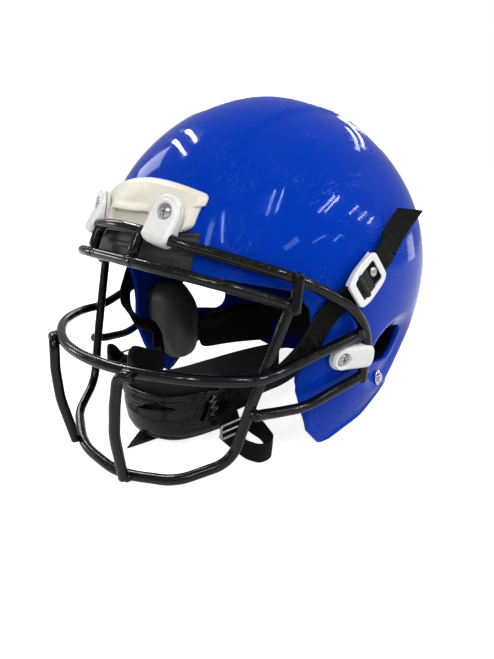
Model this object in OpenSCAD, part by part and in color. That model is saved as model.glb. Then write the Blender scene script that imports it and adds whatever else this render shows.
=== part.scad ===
// Football helmet with a welded wire face guard and a four point chin strap.
// The wearer's left is +X, the face is towards -Y and the crown is up.
// The helmet stands on z = 0 with its box centred on the origin.

/* [Shell] */
// Outside width of the shell
shell_w = 236; // [225:1:250]
// Outside length of the shell ahead of its widest section
shell_front = 145; // [138:1:152]
// Outside length of the shell behind its widest section
shell_rear = 135.8; // [126:1:142]
// Height of the widest level above the ground
shell_mid_z = 111; // [106:1:118]
// Height of the crown above the widest level
crown_h = 136; // [128:1:146]
// Thickness of the shell wall
shell_wall = 4; // [3:0.5:5]
// Share of the width lost between the widest level and the ground, beside the jaw
shell_taper = 0.15; // [0.1:0.01:0.2]
// Share of the length lost between the widest level and the ground, at the nape
nape_taper = 0.3; // [0.2:0.02:0.34]
// Height of the raised rib along the crown
crown_rib = 1.2; // [0:0.2:2]
// Depth of the dish round each ear hole
ear_dish = 6; // [2:1:8]

/* [Openings in the shell] */
// Length of an ear hole
ear_len = 54; // [50:1:60]
// Height of an ear hole
ear_h = 29; // [26:1:34]
// Height of the brow edge at the middle
brow_z = 151; // [148:1:156]
// Height of the arch in the lower edge below the ears
neck_arch = 22; // [14:1:28]

/* [Face guard] */
// Diameter of the coated wire
wire_d = 7; // [6:0.5:8]
// How far welded wires sink into each other
weld = 0.8; // [0.4:0.1:1.2]
// Height of the mouth bar at the front
mouth_z = 83.5; // [80:0.5:86]

/* [Face guard clips] */
// Distance between the two top clips
top_clip_gap = 73; // [68:1:78]
// Width of a clip
clip_w = 20; // [18:1:22]
// Plastic round the wire in a clip
clip_wall = 2.4; // [2:0.1:3]
// Diameter of the clip screws' heads
screw_head_d = 9; // [8:0.5:10]
// Diameter of the clip screws
screw_d = 4.2; // [3.6:0.2:5]

/* [Bumpers] */
// Half of the front bumper's width
bumper_half_w = 52.5; // [50:1:60]
// Height of the front bumper's upper edge at the middle
bumper_top_z = 190; // [186:1:194]
// Height of the front bumper's lower edge
bumper_low_z = 160; // [158:1:163]
// Thickness of the front bumper
bumper_t = 5; // [4:0.5:6]
// Thickness of the rear bumper
rear_bumper_t = 4; // [3:0.5:5]

/* [Padding] */
// Depth of the crush space between the shell and the bonnet
crush = 20; // [16:1:24]
// Thickness of the bonnet
bonnet_t = 2.5; // [2:0.5:4]
// Diameter of a shock absorber
absorber_d = 34; // [28:1:38]
// Thickness of a jaw pad
jaw_pad_t = 22; // [16:1:26]
// Length of a jaw pad
jaw_pad_len = 52; // [44:1:56]
// Height of a jaw pad
jaw_pad_h = 78; // [68:1:82]

/* [Chin strap] */
// Width of the webbing
strap_w = 16; // [14:0.5:17]
// Thickness of the webbing
strap_t = 1.6; // [1.2:0.2:2]
// Width of the chin cup
cup_w = 106; // [98:1:110]
// Height of the chin cup
cup_h = 46; // [40:1:50]
// Thickness of the chin cup
cup_wall = 3; // [2.5:0.5:4]
// Diameter of the snap stud's neck
stud_neck_d = 6; // [5:0.5:7]

/* [Hidden] */
$fn = 40;

wire_r = wire_d / 2;
seat = 0.3;
skin_seat = 0.6;
shell_y = 23.3;
front_power = 2.1;
rear_power = 2.4;
crown_power = 1.93;

// Vectors
function unit(v) = v / norm(v);
function flip(p) = [-p[0], p[1], p[2]];
function mix(a, b, t) = a + (b - a) * t;
function ramp(x, a, b) = let (t = min(1, max(0, (x - a) / (b - a)))) t * t * (3 - 2 * t);
function square_to(v, t) = unit(v - (v * t) * t);
module place(at, x, z) {
    y = cross(z, x);
    multmatrix([[x[0], y[0], z[0], at[0]], [x[1], y[1], z[1], at[1]], [x[2], y[2], z[2], at[2]]]) children();
}
module side(s) { mirror([s < 0 ? 1 : 0, 0, 0]) children(); }

// The shell's form: u is the angle round from the face towards the wearer's left
function taper(u) = mix(shell_taper, nape_taper, ramp(-cos(u), -0.1, 0.9));
function ring(u, z, off) = z >= shell_mid_z
    ? pow(max(0, 1 - pow((z - shell_mid_z) / (crown_h + off), crown_power)), 1 / crown_power)
    : 1 - taper(u) * pow((shell_mid_z - z) / shell_mid_z, 2);
function reach(u, off) = let (
    front = cos(u) >= 0,
    p = front ? front_power : rear_power,
    l = (front ? shell_front : shell_rear) + off)
    pow(pow(abs(sin(u)) / (shell_w / 2 + off), p) + pow(abs(cos(u)) / l, p), -1 / p);
function on_shell(u, z, off = 0) = let (r = reach(u, off) * ring(u, z, off))
    [r * sin(u), shell_y - r * cos(u), z];
function out_of_shell(u, z, off = 0) = unit(cross(
    on_shell(u + 1, z, off) - on_shell(u - 1, z, off), on_shell(u, z + 1, off) - on_shell(u, z - 1, off)));
// The point of the shell's side at a given y, and of its front at a given x
function beside(y, z, off) = let (
    rear = y > shell_y, p = rear ? rear_power : front_power, k = ring(rear ? 100 : 80, z, off),
    l = ((rear ? shell_rear : shell_front) + off) * k)
    [(shell_w / 2 + off) * k * pow(1 - pow(abs(y - shell_y) / l, p), 1 / p), y, z];
function before(x, z, off) = let (k = ring(0, z, off))
    [x, shell_y - (shell_front + off) * k
        * pow(1 - pow(abs(x) / ((shell_w / 2 + off) * k), front_power), 1 / front_power), z];

// A wire of round section swept along a route of straight runs and bends
function bend(a, b, c, r, step) = let (
    u = unit(a - b), w = unit(c - b),
    turn = 180 - acos(max(-1, min(1, u * w))),
    t = r * tan(turn / 2),
    start = b + u * t,
    centre = b + unit(u + w) * r / cos(turn / 2),
    e1 = (start - centre) / r,
    n = max(1, ceil(turn / step)))
    [for (k = [0:n]) centre + r * (cos(turn * k / n) * e1 - sin(turn * k / n) * u)];
function route(points, radii, step = 13) = [
    points[0],
    for (i = [1:len(points) - 2])
        each bend(points[i - 1], points[i], points[i + 1], radii[i - 1], step),
    points[len(points) - 1]];
function tangent(p, i) = let (n = len(p) - 1)
    i == 0 ? unit(p[1] - p[0])
    : i == n ? unit(p[n] - p[n - 1])
    : unit(unit(p[i + 1] - p[i]) + unit(p[i] - p[i - 1]));
function across(p) = let (hint = abs(tangent(p, 0)[2]) > 0.9 ? [1, 0, 0] : [0, 0, 1])
    [for (i = 0, v = square_to(hint, tangent(p, 0)); i < len(p);
        v = i + 1 < len(p) ? square_to(v, tangent(p, i + 1)) : v, i = i + 1) v];
// Closes a stack of equal rings of points into a solid
module stack(rings, first = undef, last = undef) {
    m = len(rings[0]);
    n = len(rings);
    middle = function (r) [for (c = [0:2]) [for (p = r) p[c]] * [for (p = r) 1]] / m;
    walls = [for (i = [0:n - 2]) for (k = [0:m - 1])
        let (k2 = (k + 1) % m, p = i * m + k, q = i * m + k2) each [[p, p + m, q], [q, p + m, q + m]]];
    ends = [for (k = [0:m - 1]) let (k2 = (k + 1) % m)
        each [[n * m, k, k2], [n * m + 1, (n - 1) * m + k2, (n - 1) * m + k]]];
    polyhedron(points = concat([for (r = rings) each r],
        [is_undef(first) ? middle(rings[0]) : first, is_undef(last) ? middle(rings[n - 1]) : last]),
        faces = concat(walls, ends));
}
module sweep(path, r, sides = 8) {
    a = across(path);
    stack([for (i = [0:len(path) - 1]) let (b = cross(tangent(path, i), a[i]))
        [for (k = [0:sides - 1]) path[i] + r * (cos(360 * k / sides) * a[i] + sin(360 * k / sides) * b)]]);
}
// Flat webbing along a path, its face turned to the given direction at each point
module webbing(path, faces, w = strap_w, t = strap_t) {
    stack([for (i = [0:len(path) - 1]) let (d = tangent(path, i), b = square_to(faces[i], d), a = cross(d, b))
        [for (c = [[-1, -1], [-1, 1], [1, 1], [1, -1]]) path[i] + a * c[0] * w / 2 + b * c[1] * t / 2]]);
}
// A sheet closed between an outer and an inner face, both grids of points
module slab(outer, inner) {
    rows = len(outer);
    cols = len(outer[0]);
    total = rows * cols;
    at = function (side, i, k) side * total + i * cols + k;
    skins = [for (i = [0:rows - 2]) for (k = [0:cols - 2]) each [
        [at(0, i, k), at(0, i, k + 1), at(0, i + 1, k)], [at(0, i, k + 1), at(0, i + 1, k + 1), at(0, i + 1, k)],
        [at(1, i, k), at(1, i + 1, k), at(1, i, k + 1)], [at(1, i, k + 1), at(1, i + 1, k), at(1, i + 1, k + 1)]]];
    rims = concat(
        [for (k = [0:cols - 2]) each [
            [at(1, 0, k), at(1, 0, k + 1), at(0, 0, k)], [at(0, 0, k), at(1, 0, k + 1), at(0, 0, k + 1)],
            [at(0, rows - 1, k), at(0, rows - 1, k + 1), at(1, rows - 1, k)],
            [at(1, rows - 1, k), at(0, rows - 1, k + 1), at(1, rows - 1, k + 1)]]],
        [for (i = [0:rows - 2]) each [
            [at(0, i, 0), at(0, i + 1, 0), at(1, i, 0)], [at(1, i, 0), at(0, i + 1, 0), at(1, i + 1, 0)],
            [at(1, i, cols - 1), at(1, i + 1, cols - 1), at(0, i, cols - 1)],
            [at(0, i, cols - 1), at(1, i + 1, cols - 1), at(0, i + 1, cols - 1)]]]);
    polyhedron(points = concat([for (r = outer) each r], [for (r = inner) each r]),
        faces = concat(skins, rims));
}
// A cushion on the shell's inner side between two angles and two heights
module cushion(u1, u2, z1, z2, off, t, cols = 24, corner = 0.75) {
    spot = function (s, v) [mix(u1, u2, (s + 1) / 2), mix(z1, z2, (v + 1) / 2)];
    corner_of = function (a) [sign(cos(a)) * pow(abs(cos(a)), corner), sign(sin(a)) * pow(abs(sin(a)), corner)];
    face = function (k, a, depth) let (c = corner_of(a) * k, p = spot(c[0], c[1]))
        shell_point(p[0], p[1], off - depth);
    crowned = function (k) t * (0.35 + 0.65 * pow(1 - pow(k, 3), 0.5));
    back = [for (k = [0.3, 0.65, 0.97]) [for (i = [0:cols - 1]) face(k, 360 * i / cols, 0)]];
    front = [for (k = [1, 0.97, 0.88, 0.7, 0.4]) [for (i = [0:cols - 1])
        face(k, 360 * i / cols, k == 1 ? t * 0.2 : crowned(k))]];
    stack([for (r = concat(back, front)) [for (k = [cols - 1:-1:0]) r[k]]]);
}

function out_at(p) = out_of_shell(atan2(p[0], shell_y - p[1]), p[2]);

// Where the clips hold the face guard
nut_d = 6.4;
wire_play = 0.1;
clip_r = wire_r + wire_play + clip_wall;
clip_leg = 2.8;
clip_low = -2 * clip_leg - 0.5;
top_wire_at = [top_clip_gap / 2, -114.3, 157.7];
top_t = unit([0.955, 0.24, -0.19]);
top_up = square_to([-0.03, 0.26, 0.965], top_t);
top_n = cross(top_t, top_up);
top_screw_up = 15;
top_screw_at = top_wire_at + top_screw_up * top_up;
side_screw_fwd = 19;
side_clip_w = 14.5;
side_screw_foot = beside(-28, 77, 0);
side_n = out_at(side_screw_foot);
side_fwd = square_to([0, -1, -0.07], side_n);
side_t = cross(side_fwd, side_n);
side_screw_at = side_screw_foot + (seat - clip_low) * side_n;
side_wire_at = side_screw_at - side_screw_fwd * side_fwd;

// Shell
ear_y = 40;
ear_z = 66;
// Depth pressed in round the ear holes, turned in at the front of the jaw, or raised along the crown
function shell_relief(p) =
    - ear_dish * (1 - ramp(norm([(p[1] - ear_y - 4) / 44, (p[2] - ear_z + 6) / 33]), 0.55, 1))
    - 3 * ramp(-p[1], 38, 58) * (1 - ramp(p[2], 96, 112))
    + crown_rib * (0.5 - ramp(abs(p[0]), 44, 50)) * ramp(p[2], 160, 200);
function shell_point(u, z, off) = let (p = on_shell(u, z, off))
    p + shell_relief(p) * unit([p[0], 0.6 * (p[1] - shell_y), 0.9 * max(0, z - shell_mid_z)]);
function half_turn(gap, fine) = concat([for (u = [0:gap:55]) u], [for (u = [60:fine:128]) u],
    [for (u = [132:gap:180]) u]);
function full_turn(h) = concat(h, [for (k = [len(h) - 1:-1:0]) if (h[k] > 0 && h[k] < 180) 360 - h[k]]);
module shell_form(off, turns, down, up) {
    levels = concat([for (k = [0:down]) mix(-3, shell_mid_z, k / down)],
        [for (k = [1:up - 1]) shell_mid_z + (crown_h + off) * pow(sin(88 * k / up), 2 / crown_power)]);
    rings = [for (z = levels) [for (u = turns) shell_point(u, z, off)]];
    stack(rings, [0, shell_y, -3], [0, shell_y, shell_mid_z + crown_h + off + crown_rib / 2]);
}
module shell_bowl() {
    difference() {
        shell_form(0, full_turn(half_turn(6, 4)), 16, 12);
        shell_form(-shell_wall, full_turn(half_turn(9, 6)), 12, 10);
    }
}
// The openings are cut by round bars right across the shell, hulled in turn
edge_r = 6;
face_line = [[-150, brow_z - 3 - edge_r], [-66, 120.5], [-58, 111], [-55, 97], [-55.5, 80], [-60, 66],
    [-59, 52], [-52.5, 33], [-40, 14], [-27, -4], [-23, -12], [-175, -40]];
face_front = [-175, 50];
neck_line = [[-6, -6], [10, 3 - edge_r], [28, neck_arch - 11], [50, neck_arch - 5], [78, neck_arch - 10],
    [100, -7]];
neck_low = [50, -40];
module crossbar(p) { translate([-200, p[0], p[1]]) rotate([0, 90, 0]) cylinder(r = edge_r, h = 400, $fn = 24); }
module face_opening() {
    for (i = [0:len(face_line) - 2]) hull() {
        crossbar(face_line[i]);
        crossbar(face_line[i + 1]);
        crossbar(face_front);
    }
}
module neck_opening() {
    for (i = [0:len(neck_line) - 2]) hull() {
        crossbar(neck_line[i]);
        crossbar(neck_line[i + 1]);
        crossbar(neck_low);
    }
}
module ear_hole() {
    hull() for (e = [-1, 1])
        translate([0, ear_y + e * (ear_len - ear_h) / 2, ear_z - e * 2.5]) rotate([0, 90, 0])
            cylinder(d = ear_h, h = 400, center = true, $fn = 32);
}
module nut_hole() { translate([0, 0, -35]) cylinder(d = nut_d + 0.6, h = 55, $fn = 16); }
module shell() {
    color("royalblue") difference() {
        union() {
            shell_bowl();
            for (s = [-1, 1]) at_stud(s, lower_stud_u, lower_stud_z, -2.5)
                cylinder(d = snap_d + 1, h = 2.5 + stud_boss_h, $fn = 32);
        }
        face_opening();
        neck_opening();
        ear_hole();
        translate([-200, -200, -20]) cube([400, 400, 20]);
        for (s = [-1, 1]) side(s) {
            place(top_screw_at, top_t, top_n) nut_hole();
            place(side_screw_at, side_t, side_n) nut_hole();
        }
    }
}

// Front bumper: thicker towards its lower edge, with a ledge over a recess between the clips
function bumper_edge(s) = mix(bumper_low_z, bumper_top_z,
    1 - 0.31 * s * s - 0.24 * ramp(abs(s), 0.85, 1));
function bumper_depth(s, t, z) = let (mid = 1 - ramp(abs(s) * bumper_half_w, 19, 22))
    mix(bumper_t + 1, bumper_t - 1, (z - bumper_low_z) / (bumper_top_z - bumper_low_z))
    - 2.6 * mid * (1 - ramp(z, bumper_low_z + 6, bumper_low_z + 7))
    + 1.2 * mid * ramp(z, bumper_low_z + 6, bumper_low_z + 7)
        * (1 - ramp(z, bumper_low_z + 9, bumper_low_z + 12))
    - 2.5 * ramp(t, 0.9, 1) - 2.5 * ramp(abs(s), 0.94, 1);
module brow_bumper() {
    half = [0.2, 0.36, 0.4, 0.55, 0.68, 0.8, 0.92, 0.97, 1];
    ss = concat([for (k = [len(half) - 1:-1:0]) -half[k]], [0], half);
    ts = [0, 0.06, 0.18, 0.24, 0.32, 0.42, 0.6, 0.8, 0.92, 1];
    face = function (inner) [for (k = [len(ts) - 1:-1:0]) [for (s = ss)
        let (z = mix(bumper_low_z, bumper_edge(s), ts[k]))
        before(s * bumper_half_w, z, inner ? skin_seat : bumper_depth(s, ts[k], z))]];
    color("ivory") difference() {
        slab(face(false), face(true));
        clip_pockets();
        for (s = [-1, 1]) side(s) place(top_screw_at, top_t, top_n)
            translate([0, 0, -40]) cylinder(d = screw_d + 1, h = 60, $fn = 16);
    }
}
// Room for the upper clips and for the wire that they hold
module clip_pockets() {
    for (s = [-1, 1]) side(s) place(top_wire_at, top_t, top_n) {
        translate([0, 0, clip_low - seat]) linear_extrude(30) {
            translate([0, clip_len - clip_w / 2]) circle(d = clip_w + 2 * seat, $fn = 32);
            translate([-clip_w / 2 - seat, -20]) square([clip_w + 2 * seat, 20 + clip_len - clip_w / 2]);
        }
        rotate([0, 90, 0]) cylinder(r = wire_r + seat, h = top_clip_gap - 6, center = true, $fn = 24);
    }
}
clip_len = 26;
module brow_trim() {
    ss = [for (k = [-8:8]) k / 8];
    face = function (off) [for (z = [bumper_low_z - seat, 156, 152, 149]) [for (s = ss)
        before(s * (bumper_half_w + 1), z, off)]];
    color("dimgray") difference() {
        slab(face(2.4), face(skin_seat));
        clip_pockets();
    }
}
module rear_bumper() {
    us = [for (k = [-8:8]) 180 + 3 * k];
    face = function (inner) [for (z = [54, 52, 44, 34, 27, 25]) [for (u = us)
        let (rim = max(ramp(abs(u - 180), 20, 24), ramp(abs(z - 39.5), 12, 14.5)))
        on_shell(u, z, inner ? skin_seat : rear_bumper_t - 2 * rim)]];
    color("ivory") slab(face(false), face(true));
}

// Face guard, wearer's left half of each wire from the middle outwards
module guard_wire(points, radii) { color("#181818") sweep(route(points, radii), wire_r); }
function mirrored(half, middle = []) = concat([for (k = [len(half) - 1:-1:0]) flip(half[k])], middle, half);
function both(radii, middle = []) = concat([for (k = [len(radii) - 1:-1:0]) radii[k]], middle, radii);
// Points beside the shell keep their distance from it at another shell width
function wide(p) = [p[0] + 1.06 * (shell_w / 2 - 118) * ramp(p[0], 40, 90), p[1], p[2]];
function wide_all(points) = [for (p = points) wide(p)];
top_mid = [0, -122, 163];
top_half = [top_wire_at - (clip_w / 2 + 3) * top_t, top_wire_at + (clip_w / 2 + 3) * top_t,
    wide([107, -65, 134.5]), wide([121.6, -25.5, 111]), side_wire_at + (side_clip_w / 2 + 5) * side_t,
    side_wire_at - 21 * side_t];
module top_bar() { guard_wire(mirrored(top_half, [top_mid]), both([30, 30, 60, 60, 30], [90])); }
brow_half = wide_all([[38, -126, 142.5], [80, -103, 133.5], [104.4, -73, 120.8]]);
module brow_bar() { guard_wire(mirrored(brow_half), [60, 60, 60, 60]); }
mouth_half = wide_all([[28.6, -154, mouth_z], [79.7, -128.4, mouth_z - 1], [102, -99, 79.7], [103.5, -80, 79.3],
    [120, -18, 93.5]]);
module mouth_bar() { guard_wire(mirrored(mouth_half), both([118, 100, 30, 60])); }
chin_half = wide_all([[25, -149.5, wire_r], [64, -131.5, 8.5], [86, -104, 20], [92.5, -93, 58],
    [104, -72.6, 118]]);
module chin_bar() { guard_wire(mirrored(chin_half), both([80, 40, 24, 60])); }
module front_upright(s) {
    side(s) guard_wire([[50, -149.4, 82.2], [41.5, -152.4, 82.2], [39.5, -155.3, 62], [36.5, -156, 40],
        [32.5, -150.5, 5]], [7, 40, 60]);
}
module lower_side_bar(s) {
    side(s) guard_wire(concat(wide_all([[98, -95, 54], [98, -84, 51], [105, -55, 47]]),
        [side_wire_at - 18 * side_t + [-1, -2, 0]]), [20, 50]);
}
tie_x = 22.8;
tie_top = mix(top_half[0], top_mid, 1 - tie_x / top_half[0][0]);
tie_low = [tie_x + 0.4, brow_half[0][1] - 0.5, brow_half[0][2]];
module brow_tie(s) {
    d = unit(tie_low - tie_top) * (wire_r - weld);
    side(s) guard_wire([tie_top + d, mix(tie_top, tie_low, 0.5) + [0.2, -1, 0], tie_low - d], [60]);
}
module side_tie(s) {
    side(s) guard_wire(wide_all([[106.9, -68.3, 138], [107.7, -70.6, 128], [108.6, -73.4, 117.4]]), [60]);
}
module front_upright_left() { front_upright(1); }
module front_upright_right() { front_upright(-1); }
module lower_side_bar_left() { lower_side_bar(1); }
module lower_side_bar_right() { lower_side_bar(-1); }
module brow_tie_left() { brow_tie(1); }
module brow_tie_right() { brow_tie(-1); }
module side_tie_left() { side_tie(1); }
module side_tie_right() { side_tie(-1); }

// Clips: a loop round the wire and two legs that the screw draws together.
// Drawn with the wire along X, the legs along +Y and the screw along Z
module clip(len, w, screw_y) {
    difference() {
        intersection() {
            union() {
                rotate([0, 90, 0]) cylinder(r = clip_r, h = w, center = true);
                translate([-w / 2, 0, clip_low]) cube([w, len, -clip_low]);
            }
            union() {
                translate([0, len - w / 2, -20]) cylinder(d = w, h = 40);
                translate([-w / 2, -20, -20]) cube([w, 20 + len - w / 2, 40]);
            }
        }
        rotate([0, 90, 0]) cylinder(r = wire_r + wire_play, h = 2 * w, center = true);
        translate([-w, 0, clip_low / 2 - 0.25]) cube([2 * w, len + 1, 0.5]);
        translate([0, screw_y, -30]) cylinder(d = screw_d + 0.6, h = 60);
    }
}
module top_clip(s) {
    color("white") side(s) place(top_wire_at, top_t, top_n) clip(clip_len, clip_w, top_screw_up);
}
module side_clip(s) {
    color("white") side(s) place(side_wire_at, side_t, side_n)
        clip(clip_len + 0.5, side_clip_w, side_screw_fwd);
}
module top_clip_left() { top_clip(1); }
module top_clip_right() { top_clip(-1); }
module side_clip_left() { side_clip(1); }
module side_clip_right() { side_clip(-1); }
module screw(len) {
    difference() {
        union() {
            translate([0, 0, 0.1]) cylinder(d1 = screw_head_d, d2 = screw_head_d * 0.62, h = 2.4);
            translate([0, 0, -len]) cylinder(d = screw_d, h = len + 1);
        }
        for (a = [0, 90]) rotate([0, 0, a]) translate([-2.4, -0.5, 1.4]) cube([4.8, 1, 2]);
    }
}
module nut(flange_d, len) {
    difference() {
        union() {
            cylinder(d = flange_d, h = nut_flange_h);
            cylinder(d = nut_d, h = len);
        }
        translate([0, 0, -1]) cylinder(d = screw_d + 0.2, h = len + 2);
    }
}
// Depth from the clip's face to the nut's flange, inside the shell
nut_flange_h = 1.2;
top_grip = 20.5;
side_grip = seat - clip_low + shell_wall + 1.1;
module top_clip_screws() {
    color("silver") for (s = [-1, 1]) side(s) place(top_screw_at, top_t, top_n) screw(top_grip + nut_flange_h);
}
module side_clip_screws() {
    color("silver") for (s = [-1, 1]) side(s) place(side_screw_at, side_t, side_n)
        screw(side_grip + nut_flange_h);
}
module clip_nuts() {
    color("gray") for (s = [-1, 1]) side(s) {
        place(top_screw_at, top_t, top_n) translate([0, 0, -top_grip - nut_flange_h]) nut(11, 4);
        place(side_screw_at, side_t, side_n) translate([0, 0, -side_grip - nut_flange_h]) nut(14, 4);
    }
}

// Padding
bonnet_off = -shell_wall - crush;
module bonnet() {
    cols = 40;
    low = function (u) mix(mix(152, 112, ramp(-cos(u), -0.75, -0.1)), 78, ramp(-cos(u), 0, 0.9));
    level = function (u, t, off) let (top = shell_mid_z + (crown_h + off) * 0.985)
        mix(low(u), top, 1 - pow(t, 1.6));
    grid = function (off) [for (t = [0:0.125:1]) [for (k = [0:cols - 1]) let (u = 360 * k / cols)
        on_shell(u, level(u, t, off), off)]];
    outer = grid(bonnet_off);
    inner = grid(bonnet_off - bonnet_t);
    n = len(outer);
    total = n * cols;
    color("#202024") polyhedron(
        points = concat([for (r = outer) each r], [for (r = inner) each r],
            [for (off = [bonnet_off, bonnet_off - bonnet_t]) [0, shell_y, shell_mid_z + crown_h + off]]),
        faces = [for (k = [0:cols - 1]) let (k2 = (k + 1) % cols) each concat(
            [[2 * total, k2, k], [2 * total + 1, total + k, total + k2]],
            [for (i = [0:n - 2]) let (p = i * cols + k, q = i * cols + k2) each [
                [p, q, p + cols], [q, q + cols, p + cols],
                [total + p, total + p + cols, total + q], [total + q, total + p + cols, total + q + cols]]],
            let (p = (n - 1) * cols + k, q = (n - 1) * cols + k2)
                [[p, q, total + p], [q, total + q, total + p]])]);
}
// Angle and height of each absorber, how far its foot sinks to meet the bonnet, and what it is longer by
absorber_spots = [[28, 182, 0.1, 0], [0, 212, 0.05, 1], [75, 200, 0, -0.1], [180, 205, 0, 1.2],
    [80, 140, 0.15, 0.85], [128, 175, 0.05, 0.2], [115, 130, 0.5, 1.5], [150, 120, 0.8, 1.45],
    [180, 150, 0.05, 0.7]];
absorber_len = crush - seat - 1 - pow(absorber_d / 2, 2) / 180;
module shock_absorbers() {
    color("#2a2a2e") for (p = absorber_spots, s = p[0] % 180 == 0 ? [1] : [-1, 1]) {
        n = out_of_shell(p[0], p[1], bonnet_off);
        side(s) place(on_shell(p[0], p[1], bonnet_off) + n * (seat - p[2]), square_to([0.1, 0.2, 1], n), n)
            cylinder(d1 = absorber_d * 0.82, d2 = absorber_d, h = absorber_len + p[3]);
    }
}
inner_off = -shell_wall - skin_seat;
module front_pad() { color("#303034") cushion(-34, 34, 154, 186, bonnet_off - bonnet_t - 2 * skin_seat, 10); }
module nape_pad() { color("#232326") cushion(142, 218, 14, 62, inner_off, 18); }
module jaw_pad(s) {
    color("#4a4d50") side(s) difference() {
        cushion(72.5 - jaw_pad_len / 4, 72.5 + jaw_pad_len / 4, 51 - jaw_pad_h / 2, 51 + jaw_pad_h / 2,
            inner_off - 1.5 * skin_seat, jaw_pad_t);
        place(side_screw_at, side_t, side_n) translate([0, 0, -side_grip - nut_flange_h - 1])
            cylinder(d = 15.5, h = 20, $fn = 24);
    }
}
module jaw_pad_left() { jaw_pad(1); }
module jaw_pad_right() { jaw_pad(-1); }

// Snap fasteners: a stud on the shell and a socket that clicks over it
stud_base_h = 0.8;
stud_neck_h = 0.8;
stud_head_d = stud_neck_d + 1.2;
stud_head_h = 1.1;
snap_play = 0.08;
snap_d = 13;
snap_h = 2.6;
upper_stud_u = 74.3;
upper_stud_z = 132;
lower_stud_u = 98.4;
lower_stud_z = 37;
stud_boss_h = 0.8;
lower_stud_lift = stud_boss_h + seat;
module stud() {
    cylinder(d = snap_d - 0.5, h = stud_base_h);
    cylinder(d = stud_neck_d, h = stud_base_h + stud_neck_h + 0.1);
    translate([0, 0, stud_base_h + stud_neck_h]) cylinder(d = stud_head_d, h = stud_head_h);
    translate([0, 0, stud_base_h + stud_neck_h + stud_head_h])
        cylinder(d1 = stud_head_d, d2 = stud_neck_d - 1, h = 0.3);
}
module socket() {
    difference() {
        cylinder(d = snap_d, h = snap_h);
        translate([0, 0, -1]) cylinder(d = stud_neck_d + 2 * snap_play, h = 2);
        translate([0, 0, 0.35]) cylinder(d = stud_head_d + 2 * snap_play, h = 1.8);
    }
}
strap_up = [0, 0.833, 0.553];
function stud_out(u, z) = unit(cross(shell_point(u + 2, z, 0) - shell_point(u - 2, z, 0),
    shell_point(u, z + 6, 0) - shell_point(u, z - 6, 0)));
module at_stud(s, u, z, lift = 0) {
    n = stud_out(u, z);
    side(s) place(shell_point(u, z, 0) + n * lift, square_to(strap_up, n), n) children();
}
module upper_stud_left() { color("silver") at_stud(1, upper_stud_u, upper_stud_z, seat) stud(); }
module upper_stud_right() { color("silver") at_stud(-1, upper_stud_u, upper_stud_z, seat) stud(); }
module lower_stud_left() { color("silver") at_stud(1, lower_stud_u, lower_stud_z, lower_stud_lift) stud(); }
module lower_stud_right() { color("silver") at_stud(-1, lower_stud_u, lower_stud_z, lower_stud_lift) stud(); }
snap_lift = seat + stud_base_h + seat;
module upper_snap_left() { color("silver") at_stud(1, upper_stud_u, upper_stud_z, snap_lift) socket(); }
module upper_snap_right() { color("silver") at_stud(-1, upper_stud_u, upper_stud_z, snap_lift) socket(); }

// Upper buckle: a frame with a toothed bar over a plate, X along the strap towards its free end
buckle_t = 3.6;
buckle_plate_t = 0.8;
buckle_lift = snap_lift + snap_h + buckle_plate_t;
buckle_bar = 4;
strap_way = strap_w + 1.6;
bar_under = strap_t + 2 * seat;
module upper_buckle() {
    difference() {
        linear_extrude(buckle_t) difference() {
            hull() {
                translate([6, 8.5]) circle(3, $fn = 16);
                translate([6, -8.5]) circle(3, $fn = 16);
                translate([-9, 10]) circle(3, $fn = 16);
                translate([-9, -10]) circle(3, $fn = 16);
                translate([-20.5, 7]) circle(4, $fn = 16);
                translate([-20.5, -7]) circle(4, $fn = 16);
            }
            translate([-20, -strap_way / 2]) square([20 + 9 - buckle_bar, strap_way]);
        }
        translate([-30, -strap_way / 2, -1]) cube([50, strap_way, bar_under + 1]);
    }
    translate([-18, -strap_way / 2 - 0.5, bar_under]) cube([2.6, strap_way + 1, buckle_t - bar_under]);
    for (k = [-3:3]) translate([-15.5, k * 2.4 - 0.6, bar_under]) cube([1.4, 1.2, buckle_t - bar_under]);
    translate([-snap_d / 2, -11.5, -buckle_plate_t]) cube([snap_d, 23, buckle_plate_t]);
    for (s = [-1, 1]) translate([-snap_d / 2, s * (strap_way / 2 + 1.4) - 1, -buckle_plate_t])
        cube([snap_d, 2, 2]);
}
module buckle_on(s) { color("white") at_stud(s, upper_stud_u, upper_stud_z, buckle_lift) upper_buckle(); }
module upper_buckle_left() { buckle_on(1); }
module upper_buckle_right() { buckle_on(-1); }

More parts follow.
